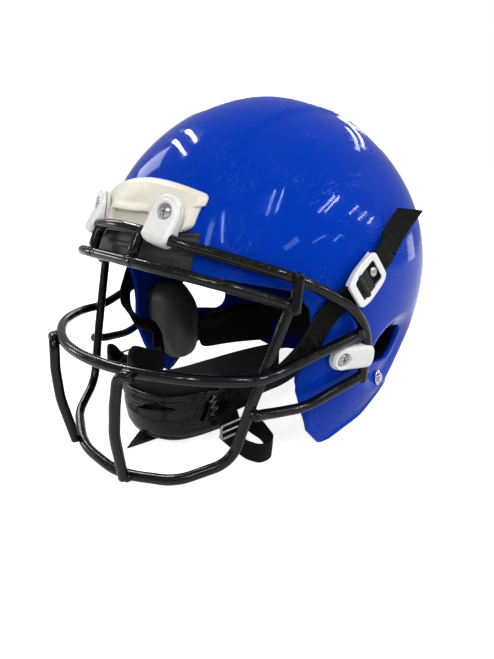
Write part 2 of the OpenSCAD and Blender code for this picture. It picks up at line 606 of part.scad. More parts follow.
// Chin cup: a hard bowl, seen from the front between its two ends
cup_y = -66;
cup_low = 8;
cup_depth = 53;
function cup_rim(a) = cup_low + cup_h - 8 + 4 * ramp(abs(a), 30, 78);
function cup_foot(a) = cup_low + 9 * ramp(abs(a), 20, 75);
function cup_lug(a) = 2.4 * ramp(abs(a), 56, 59) * (1 - ramp(abs(a), 66, 69));
function cup_at(a, k, z, grow) = [(cup_w / 2 - 3) * k * sin(a), cup_y - cup_depth * k * cos(a), z]
    + grow * [sin(a), -cos(a), 0];
cup_turns = concat([for (a = [-80, -74, -68, -62, -56]) a], [for (a = [-48:12:48]) a], [56, 62, 68, 74, 80]);
module chin_cup() {
    // share of the radius and height of each row, from the lip under the chin to the top rim
    rows = [[0.72, 0.1], [0.86, 0], [0.95, 0.08], [1, 0.3], [1, 0.55], [0.98, 0.8], [1, 1]];
    face = function (inner) [for (r = [len(rows) - 1:-1:0]) [for (a = cup_turns)
        cup_at(a, rows[r][0],
            mix(cup_foot(a), cup_rim(a), rows[r][1]) + (inner && r < 3 ? [3, 2.6, 1.6][r] : 0),
            inner ? (r < 2 ? -0.6 : -cup_wall) : (r > 1 && r < 6 ? cup_lug(a) : 0))]];
    color("#26282b") difference() {
        slab(face(false), face(true));
        for (s = [-1, 1]) translate([s * 19, -80, 31]) rotate([90, 0, 0]) hull() {
            cylinder(r = 3.2, h = 60, $fn = 20);
            for (e = [-1, 1]) translate([11 * e, -2.2, 0]) cylinder(r = 1, h = 60, $fn = 20);
        }
    }
}
module chin_cup_pad() {
    turns = concat([-96, -88], cup_turns, [88, 96]);
    low = function (a) cup_foot(a) + 11;
    high = function (a) cup_rim(a) + 3 + 9 * ramp(abs(a), 40, 80) - 8 * ramp(abs(a), 84, 96);
    face = function (inner) [for (v = [1, 0.8, 0.5, 0.2, 0]) [for (a = turns)
        cup_at(a, mix(0.93, 0.985, ramp(v, 0, 0.5)), mix(low(a), high(a), v),
            -cup_wall - seat - (inner ? 6 - 3 * pow(2 * v - 1, 2) : 0.2))]];
    color("#1c1d20") slab(face(false), face(true));
}

// Chin straps
strap_off = strap_t / 2 + 0.7;
slot_at = [cup_w / 2 - 2, -84.5, 32];
cup_side = cup_w / 2 - 2.5;
function strap_face(p) = mix(mix([0.98, -0.2, 0], out_at(p), ramp(p[2], 40, 80)), tail_face,
    0.7 * ramp(p[1], 4, 34));
function by_stud(x, lift) = let (n = stud_out(upper_stud_u, upper_stud_z), d = square_to(strap_up, n))
    shell_point(upper_stud_u, upper_stud_z, 0) + n * lift + d * x;
in_buckle = buckle_lift + seat + strap_t / 2;
buckle_run = [beside(-36, 113, strap_off), by_stud(-26, 1.9), by_stud(-18, in_buckle), by_stud(9, in_buckle)];
tail_run = [by_stud(20, 5), wide([115.5, 20, 152]), wide([117, 34.5, 165])];
tail_face = unit([0.5, -0.5, 0.68]);
taut_path = route(concat([[cup_side, -75, 36], [58, -64, 41]],
    wide_all([[79, -64, 58], [100.5, -62.5, 76], [105.5, -53, 90], [108, -45.5, 103]]), buckle_run, tail_run),
    [6, 60, 60, 16, 20, 30, 8, 12, 12, 30, 60], 30);
slack_path = route(concat([[cup_side, -75, 36], [cup_side + 2.5, -58, 42]],
    wide_all([[66, -50, 58], [82, -60, 66], [98, -60.5, 76], [101.5, -57.5, 88], [107, -46.5, 103]]),
    buckle_run, tail_run), [6, 14, 14, 14, 8, 16, 30, 8, 12, 12, 30, 60], 30);
module upper_strap(s, path) { color("#1b1b1d") side(s) webbing(path, [for (p = path) strap_face(p)]); }
module upper_strap_left() { upper_strap(1, taut_path); }
module upper_strap_right() { upper_strap(-1, slack_path); }
loose_left = route([for (p = [[0, 0, 0], [7, 2.5, 6], [9, 4.5, -6], [-5, 4.5, -18], [5, 5.5, -28],
    [25, 14.5, -29], [35, 22.5, -18], [27, 22.5, -8.5], [15.5, 20.5, -8.5]]) slot_at + p],
    [3, 6, 8, 8, 10, 10, 8], 30);
module lower_strap_left() {
    color("#1b1b1d") webbing(loose_left,
        [for (i = [0:len(loose_left) - 1]) cross([0, 1, 0], tangent(loose_left, i))]);
}
loose_right = route([[1.1 - cup_side, -82, 34], [-8 - cup_side, -96, 42],
    [-72, -99, 47], [-77.8, -89.2, 42.4], [-69, -72, 20], [-44, -62, 4],
    [2, -80, 3], [-7, -121, 2.4]], [8, 8, 8, 14, 14, 16], 30);
module lower_strap_right() {
    color("#1b1b1d") webbing(loose_right, [for (p = loose_right)
        unit(mix([0, 0, 1], [-0.7, -0.5 + (p[0] + 71) / 71, 0.05], ramp(p[2], 4, 30)))], 18);
}
module lower_buckle() {
    difference() {
        translate([-12, -6, 0]) cube([24, 12, 2]);
        translate([-10, -3.5, -1]) cube([20, 7, 4]);
    }
}
module lower_buckle_left() {
    color("silver") place(slot_at + [11.6, 4.5, -7], unit([0.1, 0.98, 0]), unit([0.99, -0.1, 0]))
        lower_buckle();
}
module lower_buckle_right() {
    color("silver") place([-81.3, -79.2, 34.2], unit([0.1, 0.9, 0.1]), unit([-0.95, 0.1, 0.05])) lower_buckle();
}
module lower_snap_left() { color("silver") place(slot_at + [19, 21.5, -13.2], [1, 0, 0], [0, 0, 1]) socket(); }
module lower_snap_right() { color("silver") place([-34, -66, 5.2], [1, 0, 0], [0, 0, 1]) socket(); }

shell();
brow_bumper();
brow_trim();
rear_bumper();
top_bar();
brow_bar();
mouth_bar();
chin_bar();
front_upright_left();
front_upright_right();
lower_side_bar_left();
lower_side_bar_right();
brow_tie_left();
brow_tie_right();
side_tie_left();
side_tie_right();
top_clip_left();
top_clip_right();
side_clip_left();
side_clip_right();
top_clip_screws();
side_clip_screws();
clip_nuts();
bonnet();
shock_absorbers();
front_pad();
nape_pad();
jaw_pad_left();
jaw_pad_right();
upper_stud_left();
upper_stud_right();
lower_stud_left();
lower_stud_right();
upper_snap_left();
upper_snap_right();
upper_buckle_left();
upper_buckle_right();
upper_strap_left();
upper_strap_right();
chin_cup();
chin_cup_pad();
lower_strap_left();
lower_strap_right();
lower_buckle_left();
lower_buckle_right();
lower_snap_left();
lower_snap_right();
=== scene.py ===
# A football helmet with a wire face guard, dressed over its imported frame.
# Lengths are in millimetres up to solid(), which makes the pieces in metres.
import bpy
import math
import numpy as np
from mathutils import Matrix

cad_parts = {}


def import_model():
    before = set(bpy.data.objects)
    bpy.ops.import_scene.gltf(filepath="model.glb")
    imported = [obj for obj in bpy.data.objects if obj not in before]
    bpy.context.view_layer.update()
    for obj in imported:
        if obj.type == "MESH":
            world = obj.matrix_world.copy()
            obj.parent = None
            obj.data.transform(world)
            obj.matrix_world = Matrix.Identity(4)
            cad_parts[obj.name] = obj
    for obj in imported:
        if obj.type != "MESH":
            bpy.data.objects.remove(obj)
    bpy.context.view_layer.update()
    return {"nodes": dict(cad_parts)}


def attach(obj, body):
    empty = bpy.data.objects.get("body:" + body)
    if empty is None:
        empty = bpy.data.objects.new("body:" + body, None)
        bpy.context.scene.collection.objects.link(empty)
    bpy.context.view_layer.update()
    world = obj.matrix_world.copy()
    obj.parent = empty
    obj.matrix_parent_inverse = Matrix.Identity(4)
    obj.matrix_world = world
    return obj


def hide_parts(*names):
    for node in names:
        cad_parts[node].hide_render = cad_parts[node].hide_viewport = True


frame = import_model()
nodes = frame["nodes"]
SIDES = ((1, "left"), (-1, "right"))


# Numbers and vectors
def vec(*v):
    return np.array(v, float)


def unit(v):
    v = np.asarray(v, float)
    return v / np.linalg.norm(v, axis=-1, keepdims=True)


def mix(a, b, t):
    return a + (b - a) * t


def ramp(x, a, b):
    t = np.clip((x - a) / (b - a), 0, 1)
    return t * t * (3 - 2 * t)


def square_to(v, t):
    return unit(v - (v * t).sum(-1, keepdims=True) * t)


def flip(p):
    return np.asarray(p, float) * [-1, 1, 1]


class Place:
    """A spot with its own axes: x and z are given, y follows. Side -1 mirrors it to the wearer's right."""

    def __init__(self, at, x, z, side=1):
        self.at, self.side = vec(*at), side
        x, z = unit(x), unit(z)
        self.axes = np.stack([x, np.cross(z, x), z])

    def out(self, p):
        p = self.at + np.asarray(p, float) @ self.axes
        return p * [self.side, 1, 1]

    def into(self, p):
        return (p * [self.side, 1, 1] - self.at) @ self.axes.T


# Meshes
def solid(name, shape, look, body, replaces=()):
    """A smooth mesh from a shape, which is points in millimetres, faces and maybe UVs, riding on a body."""
    points, faces, *uv = shape
    mesh = bpy.data.meshes.new(name)
    mesh.from_pydata((np.asarray(points) * 0.001).tolist(), [], [list(map(int, f)) for f in faces])
    mesh.validate()
    mesh.polygons.foreach_set("use_smooth", [True] * len(mesh.polygons))
    if uv:
        layer = mesh.uv_layers.new(name="UVMap").data
        corner = np.zeros(len(mesh.loops), int)
        mesh.loops.foreach_get("vertex_index", corner)
        layer.foreach_set("uv", (np.asarray(uv[0])[corner] * 0.001).ravel())
    piece = bpy.data.objects.new(name, mesh)
    bpy.context.scene.collection.objects.link(piece)
    mesh.materials.append(look)
    if replaces:
        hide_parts(*replaces)
    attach(piece, body)
    return piece


def on_side(shape, side):
    """A shape of the wearer's left, mirrored where the side is the right."""
    if side > 0:
        return shape
    points, faces, *uv = shape
    return (flip(points), [f[::-1] for f in faces], *uv)


def strip_faces(rows, cols, closed, start=0):
    """Quads between rows of points, each row a ring if closed."""
    i = np.arange(rows - 1)[:, None]
    k = np.arange(cols if closed else cols - 1)[None, :]
    k2 = (k + 1) % cols
    q = np.stack([i * cols + k, i * cols + k2, (i + 1) * cols + k2, (i + 1) * cols + k], -1)
    return (q.reshape(-1, 4) + start).tolist()


def rings_solid(rings, first, last):
    """Points and faces of rings closed by a point at each end."""
    rings = np.asarray(rings)
    n, m = rings.shape[:2]
    points = np.concatenate([rings.reshape(-1, 3), [first, last]])
    faces = strip_faces(n, m, True)
    a, b = n * m, n * m + 1
    faces += [[a, (k + 1) % m, k] for k in range(m)]
    faces += [[b, (n - 1) * m + k, (n - 1) * m + (k + 1) % m] for k in range(m)]
    return points, faces


def bend(a, b, c, r, step):
    u, w = unit(a - b), unit(c - b)
    turn = math.pi - math.acos(max(-1, min(1, float(u @ w))))
    if turn < 1e-4:
        return [b]
    start = b + u * r * math.tan(turn / 2)
    centre = b + unit(u + w) * r / math.cos(turn / 2)
    e = (start - centre) / r
    n = max(2, math.ceil(math.degrees(turn) / step))
    return [centre + r * (math.cos(turn * k / n) * e - math.sin(turn * k / n) * u) for k in range(n + 1)]


def route(points, radii, step=5.0, gap=4.0):
    """A path of straight runs and bends, with a point at least every gap."""
    points = [vec(*p) for p in points]
    path = [points[0]]
    for i in range(1, len(points) - 1):
        path += bend(points[i - 1], points[i], points[i + 1], radii[i - 1], step)
    path.append(points[-1])
    even = [path[0]]
    for p in path[1:]:
        d = np.linalg.norm(p - even[-1])
        n = int(d // gap)
        even += [mix(even[-1], p, k / (n + 1)) for k in range(1, n + 1)] if n else []
        even.append(p)
    return np.array(even)


def tangents(path):
    d = unit(np.diff(path, axis=0))
    return unit(np.concatenate([d[:1], d[1:] + d[:-1], d[-1:]]))


def carried(path, hint):
    """A direction square to the path, carried along it without twist."""
    t = tangents(path)
    v = [square_to(vec(*hint), t[0])]
    for k in range(1, len(path)):
        v.append(square_to(v[-1], t[k]))
    return t, np.array(v)


def wire(path, r, sides=20, dome=True):
    """Rings of a round wire along a path, with domed ends."""
    hint = (1, 0, 0) if abs(tangents(path)[0][2]) > 0.9 else (0, 0, 1)
    t, a = carried(path, hint)
    b = np.cross(t, a)
    turn = np.arange(sides) * 2 * math.pi / sides
    circle = np.cos(turn)[None, :, None] * a[:, None] + np.sin(turn)[None, :, None] * b[:, None]
    rings = path[:, None] + r * circle
    if dome:
        cap = [0.25, 0.5, 0.72, 0.88, 0.97]
        head = [path[0] + r * circle[0] * c - t[0] * r * 0.5 * math.sqrt(1 - c * c) for c in cap]
        tail = [path[-1] + r * circle[-1] * c + t[-1] * r * 0.5 * math.sqrt(1 - c * c) for c in cap[::-1]]
        rings = np.concatenate([head, rings, tail])
        return rings_solid(rings, path[0] - t[0] * r * 0.5, path[-1] + t[-1] * r * 0.5)
    return rings_solid(rings, path[0], path[-1])


def joined(*parts):
    """Several point-and-face sets as one."""
    points, faces, n = [], [], 0
    for p, f in parts:
        points.append(p)
        faces += [[k + n for k in g] for g in f]
        n += len(p)
    return np.concatenate(points), faces


def turned(profile, place, sides=48):
    """A turned piece: radius and height pairs from the lower middle to the upper middle."""
    turn = np.arange(sides) * 2 * math.pi / sides
    rings = [[place.out((r * math.cos(w), r * math.sin(w), h)) for w in turn] for r, h in profile]
    points, faces = rings_solid(rings, place.out((0, 0, profile[0][1])), place.out((0, 0, profile[-1][1])))
    return points, (faces if place.side > 0 else [f[::-1] for f in faces])


def softened(profile, r=0.25):
    """The profile of a turned piece with its corners rounded."""
    pts = [vec(*p, 0) for p in profile]
    out = [pts[0]]
    for a, b, c in zip(pts, pts[1:], pts[2:]):
        if abs(np.cross(unit(b - a), unit(c - b))[2]) < 0.1:
            out.append(b)
            continue
        k = min(r, 0.45 * np.linalg.norm(b - a), 0.45 * np.linalg.norm(c - b))
        turn = math.pi - math.acos(max(-1, min(1, float(unit(a - b) @ unit(c - b)))))
        out += bend(a, b, c, k / max(0.2, math.tan(turn / 2)), 30)
    return [(p[0], p[1]) for p in out + [pts[-1]]]


# Moulded pieces, from a distance to their surface
def box_off(p, half, r=0.0):
    """Distance to a box about the origin with its corners rounded by r."""
    q = np.abs(p) - (np.asarray(half, float) - r)
    return np.linalg.norm(np.maximum(q, 0), axis=-1) + np.minimum(q.max(-1), 0) - r


def both_of(a, b, r):
    """Where two forms meet, rounded by r."""
    h = np.clip(0.5 - 0.5 * (b - a) / r, 0, 1)
    return mix(b, a, h) + r * h * (1 - h)


def either_of(a, b, r):
    """Two forms joined with a fillet of about r."""
    h = np.clip(0.5 + 0.5 * (b - a) / r, 0, 1)
    return mix(b, a, h) - r * h * (1 - h)


def moulded(distance, low, high, cell):
    """The surface where distance is zero, as points and quads, on a grid of cells."""
    axes = [np.arange(low[k], high[k] + cell, cell) for k in range(3)]
    grid = np.stack(np.meshgrid(*axes, indexing="ij"), -1)
    d = distance(grid)
    inside = d < 0
    shape = np.array(d.shape) - 1
    total, count = np.zeros((*shape, 3)), np.zeros(shape)
    crossings = []
    for a in range(3):
        lo = [slice(None)] * 3
        hi = [slice(None)] * 3
        lo[a], hi[a] = slice(0, -1), slice(1, None)
        d0, d1 = d[tuple(lo)], d[tuple(hi)]
        cross = inside[tuple(lo)] != inside[tuple(hi)]
        t = np.where(cross, d0 / np.where(cross, d0 - d1, 1), 0)
        at = grid[tuple(lo)] + t[..., None] * np.eye(3)[a] * cell
        b, c = [k for k in range(3) if k != a]
        for i in (0, 1):
            for j in (0, 1):
                part = [slice(None)] * 3
                part[b] = slice(i, i + shape[b])
                part[c] = slice(j, j + shape[c])
                hit = cross[tuple(part)]
                total += np.where(hit[..., None], at[tuple(part)], 0)
                count += hit
        crossings.append((a, b, c, cross, inside[tuple(lo)]))
    used = count > 0
    number = np.full(used.shape, -1)
    number[used] = np.arange(used.sum())
    points = total[used] / count[used][:, None]
    e = cell * 0.2
    for _ in range(2):
        here = distance(points)
        slope = np.stack([distance(points + e * np.eye(3)[k]) - here for k in range(3)], -1) / e
        points = points - np.clip(here / np.maximum((slope * slope).sum(-1), 0.2), -cell, cell)[:, None] * slope
    faces = []
    for a, b, c, cross, within in crossings:
        where = np.argwhere(cross)
        ok = (where[:, b] > 0) & (where[:, c] > 0) & (where[:, b] < shape[b]) & (where[:, c] < shape[c])
        where = where[ok]
        quad = []
        for i, j in ((1, 1), (0, 1), (0, 0), (1, 0)):
            at = where.copy()
            at[:, b] -= i
            at[:, c] -= j
            quad.append(number[at[:, 0], at[:, 1], at[:, 2]])
        quad = np.stack(quad, -1)
        turn = within[tuple(where.T)] == (a != 1)
        quad[~turn] = quad[~turn][:, ::-1]
        faces.append(quad)
    return points, np.concatenate(faces)


def moulded_at(place, distance, low, high, cell):
    points, faces = moulded(distance, low, high, cell)
    return place.out(points), (faces if place.side > 0 else faces[:, ::-1])


# Trimmed sheets, such as the shell with its openings
def grid_of(a_values, b_values, closed):
    """Parameter pairs and triangles of a grid, its last column joined to its first if closed."""
    na, nb = len(a_values), len(b_values)
    A, B = np.meshgrid(a_values, b_values, indexing="ij")
    triangles = []
    for i in range(na if closed else na - 1):
        i2 = (i + 1) % na
        for k in range(nb - 1):
            p, q, r, s = i * nb + k, i2 * nb + k, i2 * nb + k + 1, i * nb + k + 1
            triangles += [(p, q, r), (p, r, s)]
    return np.stack([A, B], -1).reshape(-1, 2).astype(float), triangles


def drawn_to_edge(par, form, value, step):
    """Moves the grid's points that lie near the edge onto it, and returns the value at every point."""
    f = value(par)
    size = np.linalg.norm(form(par[:, 0] + step[0], par[:, 1]) - form(par[:, 0], par[:, 1]), axis=-1)
    near = np.abs(f) < 0.35 * np.maximum(size, 0.4)
    moving = par[near]
    home = moving.copy()
    for _ in range(8):
        g = value(moving)
        grad = np.stack([(value(moving + step * 0.05 * e) - g) / 0.05 for e in np.eye(2)], -1)
        moving = moving - (g / np.maximum((grad ** 2).sum(-1), 1e-6))[:, None] * grad * step
        moving = np.clip(moving, home - 0.45 * step, home + 0.45 * step)
    good = np.abs(value(moving)) < 0.02
    index = np.where(near)[0][good]
    par[index] = moving[good]
    f[index] = 0
    f[(f > 0) & (f < 1e-6)] = 0
    return f


def cut_at_edge(par, triangles, f, value, span):
    """The faces where f is over zero, with a new point wherever one crosses the edge."""
    crossings, number = [], {}

    def cut(i, j):
        key = (min(i, j), max(i, j))
        if key not in number:
            a, b = par[i].copy(), par[j].copy()
            if span and abs(a[0] - b[0]) > span / 2:
                b[0] += span if a[0] > b[0] else -span
            crossings.append((a, b) if f[i] > 0 else (b, a))
            number[key] = len(par) + len(crossings) - 1
        return number[key]

    faces = []
    for t in triangles:
        values = [f[k] for k in t]
        if min(values) >= 0 and max(values) > 0:
            faces.append(t)
        elif max(values) > 0:
            ring = []
            for i, j in zip(t, t[1:] + t[:1]):
                if f[i] >= 0:
                    ring.append(i)
                if f[i] * f[j] < 0:
                    ring.append(cut(i, j))
            if len(ring) >= 3:
                faces.append(tuple(ring))
    if crossings:
        lo, hi = [np.array(ends) for ends in zip(*crossings)]
        for _ in range(24):
            mid = (lo + hi) / 2
            up = value(mid) > 0
            lo = np.where(up[:, None], mid, lo)
            hi = np.where(up[:, None], hi, mid)
        par = np.concatenate([par, (lo + hi) / 2])
    used = np.unique([k for face in faces for k in face])
    order = np.full(len(par), -1)
    order[used] = np.arange(len(used))
    return par[used], [[int(order[k]) for k in face] for face in faces]


def joined_at_pole(faces, pole):
    """The faces once the grid's points at the pole have become one."""
    faces = [[int(pole[0]) if k in pole else k for k in face] for face in faces]
    faces = [list(dict.fromkeys(face)) for face in faces]
    return [face for face in faces if len(face) > 2]


def rim_loops(faces):
    """The open edges of the faces, as rings of points."""
    edges = {edge for face in faces for edge in zip(face, face[1:] + face[:1])}
    after = {i: j for face in faces for i, j in zip(face, face[1:] + face[:1]) if (j, i) not in edges}
    loops, seen = [], set()
    for start in after:
        if start not in seen:
            loop = [start]
            seen.add(start)
            while after[loop[-1]] != start and after[loop[-1]] not in seen:
                loop.append(after[loop[-1]])
                seen.add(loop[-1])
            loops.append(np.array(loop))
    return loops


def sheet_solid(form, keep, a_values, b_values, wall, bulge, closed, steps=6):
    """A sheet form(a, b) of even wall where keep(point) is over zero, its edges rounded. A closed one has a pole."""
    def value(par):
        return keep(form(par[:, 0], par[:, 1]))

    step = np.array([abs(a_values[1] - a_values[0]), abs(np.diff(b_values)).mean()])
    span = a_values[-1] - a_values[0] + step[0] if closed else 0
    par, triangles = grid_of(a_values, b_values, closed)
    f = drawn_to_edge(par, form, value, step)
    par, faces = cut_at_edge(par, triangles, f, value, span)
    outer = form(par[:, 0], par[:, 1])
    e = step * 0.02
    da = form(par[:, 0] + e[0], par[:, 1]) - form(par[:, 0] - e[0], par[:, 1])
    db = form(par[:, 0], par[:, 1] + e[1]) - form(par[:, 0], par[:, 1] - e[1])
    normal = unit(np.cross(da, db) + 1e-12)
    n = len(outer)
    if closed:
        pole = np.where(np.abs(par[:, 1] - b_values[-1]) < 1e-9)[0]
        normal[pole] = unit(normal[pole].mean(0))
        faces = joined_at_pole(faces, pole.tolist())
    points = [outer, outer - normal * wall]
    solid_faces = faces + [[k + n for k in face[::-1]] for face in faces]
    total = 2 * n
    for loop in rim_loops(faces):
        p = outer[loop]
        along = np.roll(p, -1, 0) - np.roll(p, 1, 0)
        for _ in range(2):
            along = along + np.roll(along, 1, 0) + np.roll(along, -1, 0)
        side = unit(np.cross(unit(along), normal[loop]))
        m = len(loop)
        rows = [loop]
        for k in range(1, steps):
            w = math.pi * k / steps
            points.append(p - normal[loop] * wall / 2 * (1 - math.cos(w)) + side * bulge * math.sin(w))
            rows.append(np.arange(m) + total)
            total += m
        rows.append(loop + n)
        for r0, r1 in zip(rows, rows[1:]):
            solid_faces += np.stack([np.roll(r0, -1), r0, r1, np.roll(r1, -1)], -1).tolist()
    return np.concatenate(points), solid_faces


# Finishes
class Wave:
    """A socket of a finish's nodes, with sums and products that add Math nodes."""

    def __init__(self, look, socket):
        self.look, self.socket = look, socket

    def _do(self, kind, a, b=0.0):
        return self.look.node("ShaderNodeMath", {"operation": kind}, {0: a, 1: b})

    def __add__(self, o):
        return self._do("ADD", self, o)

    def __sub__(self, o):
        return self._do("SUBTRACT", self, o)

    def __rsub__(self, o):
        return self._do("SUBTRACT", o, self)

    def __mul__(self, o):
        return self._do("MULTIPLY", self, o)

    def __abs__(self):
        return self._do("ABSOLUTE", self)

    def sin(self):
        return self._do("SINE", self)

    def larger(self, o):
        return self._do("MAXIMUM", self, o)

    def between(self, low, high):
        """0 below low, 1 above high, smooth in between."""
        limits = {0: self, 1: low, 2: high, 3: 0.0, 4: 1.0}
        return self.look.node("ShaderNodeMapRange", {"interpolation_type": "SMOOTHSTEP"}, limits)

    __radd__, __rmul__ = __add__, __mul__


class Finish:
    """A material with one surface shader."""

    def __init__(self, name, colour, rough, **fixed):
        self.material = bpy.data.materials.new(name)
        self.material.use_nodes = True
        self.tree = self.material.node_tree
        self.shader = self.tree.nodes["Principled BSDF"]
        self.material.diffuse_color = (*colour, 1)
        self.shader.inputs["Base Color"].default_value = (*colour, 1)
        self.shader.inputs["Roughness"].default_value = rough
        for key, value in fixed.items():
            self.shader.inputs[key.replace("_", " ")].default_value = value

    def node(self, kind, settings, inputs, output=0):
        n = self.tree.nodes.new(kind)
        for key, value in settings.items():
            setattr(n, key, value)
        for key, value in inputs.items():
            if isinstance(value, Wave):
                self.tree.links.new(value.socket, n.inputs[key])
            else:
                n.inputs[key].default_value = value
        return Wave(self, n.outputs[output])

    def at(self):
        return self.node("ShaderNodeTexCoord", {}, {}, "Object")

    def along(self):
        return self.node("ShaderNodeTexCoord", {}, {}, "UV")

    def scaled(self, where, scale, turn=(0, 0, 0)):
        return self.node("ShaderNodeMapping", {}, {"Vector": where, "Scale": scale, "Rotation": turn})

    def noise(self, where, scale, detail=2.0, rough=0.5, twist=0.0):
        inputs = {"Vector": where, "Scale": scale, "Detail": detail, "Roughness": rough, "Distortion": twist}
        return self.node("ShaderNodeTexNoise", {}, inputs, "Fac")

    def tint(self, a, b, share):
        """From colour a to colour b by share."""
        a, b = [c if isinstance(c, Wave) else (*c, 1) for c in (a, b)]
        return self.node("ShaderNodeMix", {"data_type": "RGBA"}, {0: share, 6: a, 7: b}, 2)

    def part(self, where, axis):
        return self.node("ShaderNodeSeparateXYZ", {}, {0: where}, axis)

    def plug(self, name, value):
        self.tree.links.new(value.socket, self.shader.inputs[name])

    def done(self, colour, rough, height, distance, strength):
        """The material, from its colour, its roughness and a bump whose height is in units of distance (metres)."""
        self.plug("Base Color", colour)
        self.plug("Roughness", rough)
        bump = {"Strength": strength, "Distance": distance, "Height": height}
        self.plug("Normal", self.node("ShaderNodeBump", {}, bump))
        return self.material


def scratches(look, where, scale, turns, width=0.006, share=0.5):
    """Thin lines in several directions, present on a share of the surface."""
    total = None
    for k, turn in enumerate(turns):
        stretched = look.scaled(where, (scale, scale * 0.035, scale * 0.5), (0.3 + 0.5 * k, 0.2 * k, turn))
        n = look.noise(stretched, 1.0, 2.0, 0.5, 0.4)
        line = 1 - abs(n - 0.5).between(0.0, width)
        here = look.noise(look.scaled(where, (18 + 5 * k,) * 3), 1.0, 1.0).between(1 - share - 0.08, 1 - share + 0.08)
        line = line * here
        total = line if total is None else total.larger(line)
    return total


def shell_finish():
    look = Finish("shell_gloss_blue", (0.001, 0.04, 0.43), 0.06, Specular_IOR_Level=0.09,
                  Specular_Tint=(0.4, 0.58, 1.0, 1.0))
    where = look.at()
    marks = scratches(look, where, 260, (0.2, 1.1, 2.3), 0.012, 0.42)
    cloud = look.noise(where, 9, 3, 0.6)
    wipe = look.noise(look.scaled(where, (60, 14, 30), (0.2, 0.4, 0.7)), 1.0, 4, 0.65).between(0.52, 0.75)
    colour = look.tint((0.0002, 0.03, 0.37), (0.0005, 0.04, 0.43), cloud)
    shade = look.tint(colour, (0.12, 0.2, 0.55), marks * 0.2 + wipe * 0.02)
    rough = marks * 0.25 + wipe * 0.09 + 0.045
    return look.done(shade, rough, look.noise(where, 35, 2) * 0.6 + marks * 0.02, 0.0006, 0.35)


def guard_finish():
    look = Finish("guard_dipped_black", (0.003, 0.003, 0.004), 0.2, Specular_IOR_Level=0.3)
    where = look.at()
    wear = look.noise(where, 120, 4, 0.7).between(0.56, 0.72)
    marks = scratches(look, where, 420, (0.4, 1.8), 0.02, 0.5)
    rub = look.noise(where, 45, 3, 0.6)
    shade = look.tint((0.002, 0.002, 0.0028), (0.024, 0.024, 0.026), wear * 0.35 + marks * 0.3)
    rough = rub * 0.12 + wear * 0.1 + 0.06
    drips = look.noise(where, 90, 2, 0.5) * 0.4 + look.noise(where, 700, 2) * 0.03
    return look.done(shade, rough, drips + marks * 0.1, 0.0007, 0.3)


def clip_finish():
    look = Finish("clip_white_plastic", (0.78, 0.78, 0.77), 0.36, Subsurface_Weight=0.05, Subsurface_Scale=0.002)
    where = look.at()
    dirt = look.noise(where, 170, 4, 0.65).between(0.56, 0.72)
    marks = scratches(look, where, 500, (0.6, 2.0), 0.014, 0.5)
    shade = look.tint((0.78, 0.78, 0.765), (0.46, 0.45, 0.43), dirt * 0.2 + marks * 0.4)
    rough = dirt * 0.2 + 0.3
    return look.done(shade, rough, look.noise(where, 260, 3) * 0.3 + marks * -0.3, 0.0005, 0.4)


def bumper_finish():
    look = Finish("bumper_ivory_vinyl", (0.72, 0.69, 0.58), 0.42, Subsurface_Weight=0.05, Subsurface_Scale=0.002)
    where = look.at()
    grime = look.noise(where, 38, 4, 0.6).between(0.48, 0.75)
    marks = scratches(look, where, 300, (0.1, 1.4), 0.012, 0.35)
    shade = look.tint((0.74, 0.71, 0.61), (0.55, 0.52, 0.43), grime * 0.45 + marks * 0.5)
    rough = grime * 0.15 + 0.36
    return look.done(shade, rough, look.noise(where, 90, 3) * 0.4 + look.noise(where, 900, 1) * 0.06, 0.0005, 0.4)


def trim_finish():
    look = Finish("trim_dark_rubber", (0.03, 0.03, 0.03), 0.5, Specular_IOR_Level=0.25)
    where = look.at()
    rub = look.noise(look.scaled(where, (30, 90, 160)), 1.0, 4, 0.6).between(0.45, 0.75)
    shade = look.tint((0.026, 0.026, 0.027), (0.09, 0.09, 0.088), rub * 0.6)
    rough = rub * 0.2 + 0.45
    return look.done(shade, rough, look.noise(where, 500, 2) * 0.2, 0.0004, 0.5)


def steel_finish(name, colour, rough):
    look = Finish(name, colour, rough, Metallic=1.0)
    where = look.at()
    spot = look.noise(where, 600, 4, 0.6)
    shade = look.tint(colour, tuple(c * 0.55 for c in colour), spot.between(0.5, 0.75))
    rough = spot * 0.2 + (rough - 0.1)
    return look.done(shade, rough, look.noise(where, 1500, 2) * 0.2, 0.0002, 0.4)


def webbing_finish(name, colour, light):
    """Woven webbing: ribs across the strap in two offset rows, bound edges and a few loose threads."""
    look = Finish(name, colour, 0.62, Specular_IOR_Level=0.1)
    uv = look.along()
    across, length = look.part(uv, 0), look.part(uv, 1)
    rib = (length * (2 * math.pi / 0.0011)).sin()
    warp = (across * (2 * math.pi / 0.0013)).sin()
    zig = (length * (2 * math.pi / 0.0011) + warp * 1.4).sin()
    fuzz = look.noise(uv, 2600, 2)
    worn = look.noise(uv, 120, 3, 0.6).between(0.5, 0.8)
    selvedge = abs(across).between(0.0066, 0.0071)
    shade = look.tint(colour, light, zig.between(0.2, 0.9) * 0.4 + worn * 0.25 + fuzz * 0.1 + selvedge * 0.5)
    rough = fuzz * 0.25 + 0.48
    return look.done(shade, rough, zig * 0.35 + rib * 0.15 + fuzz * 0.3, 0.00035, 0.6)


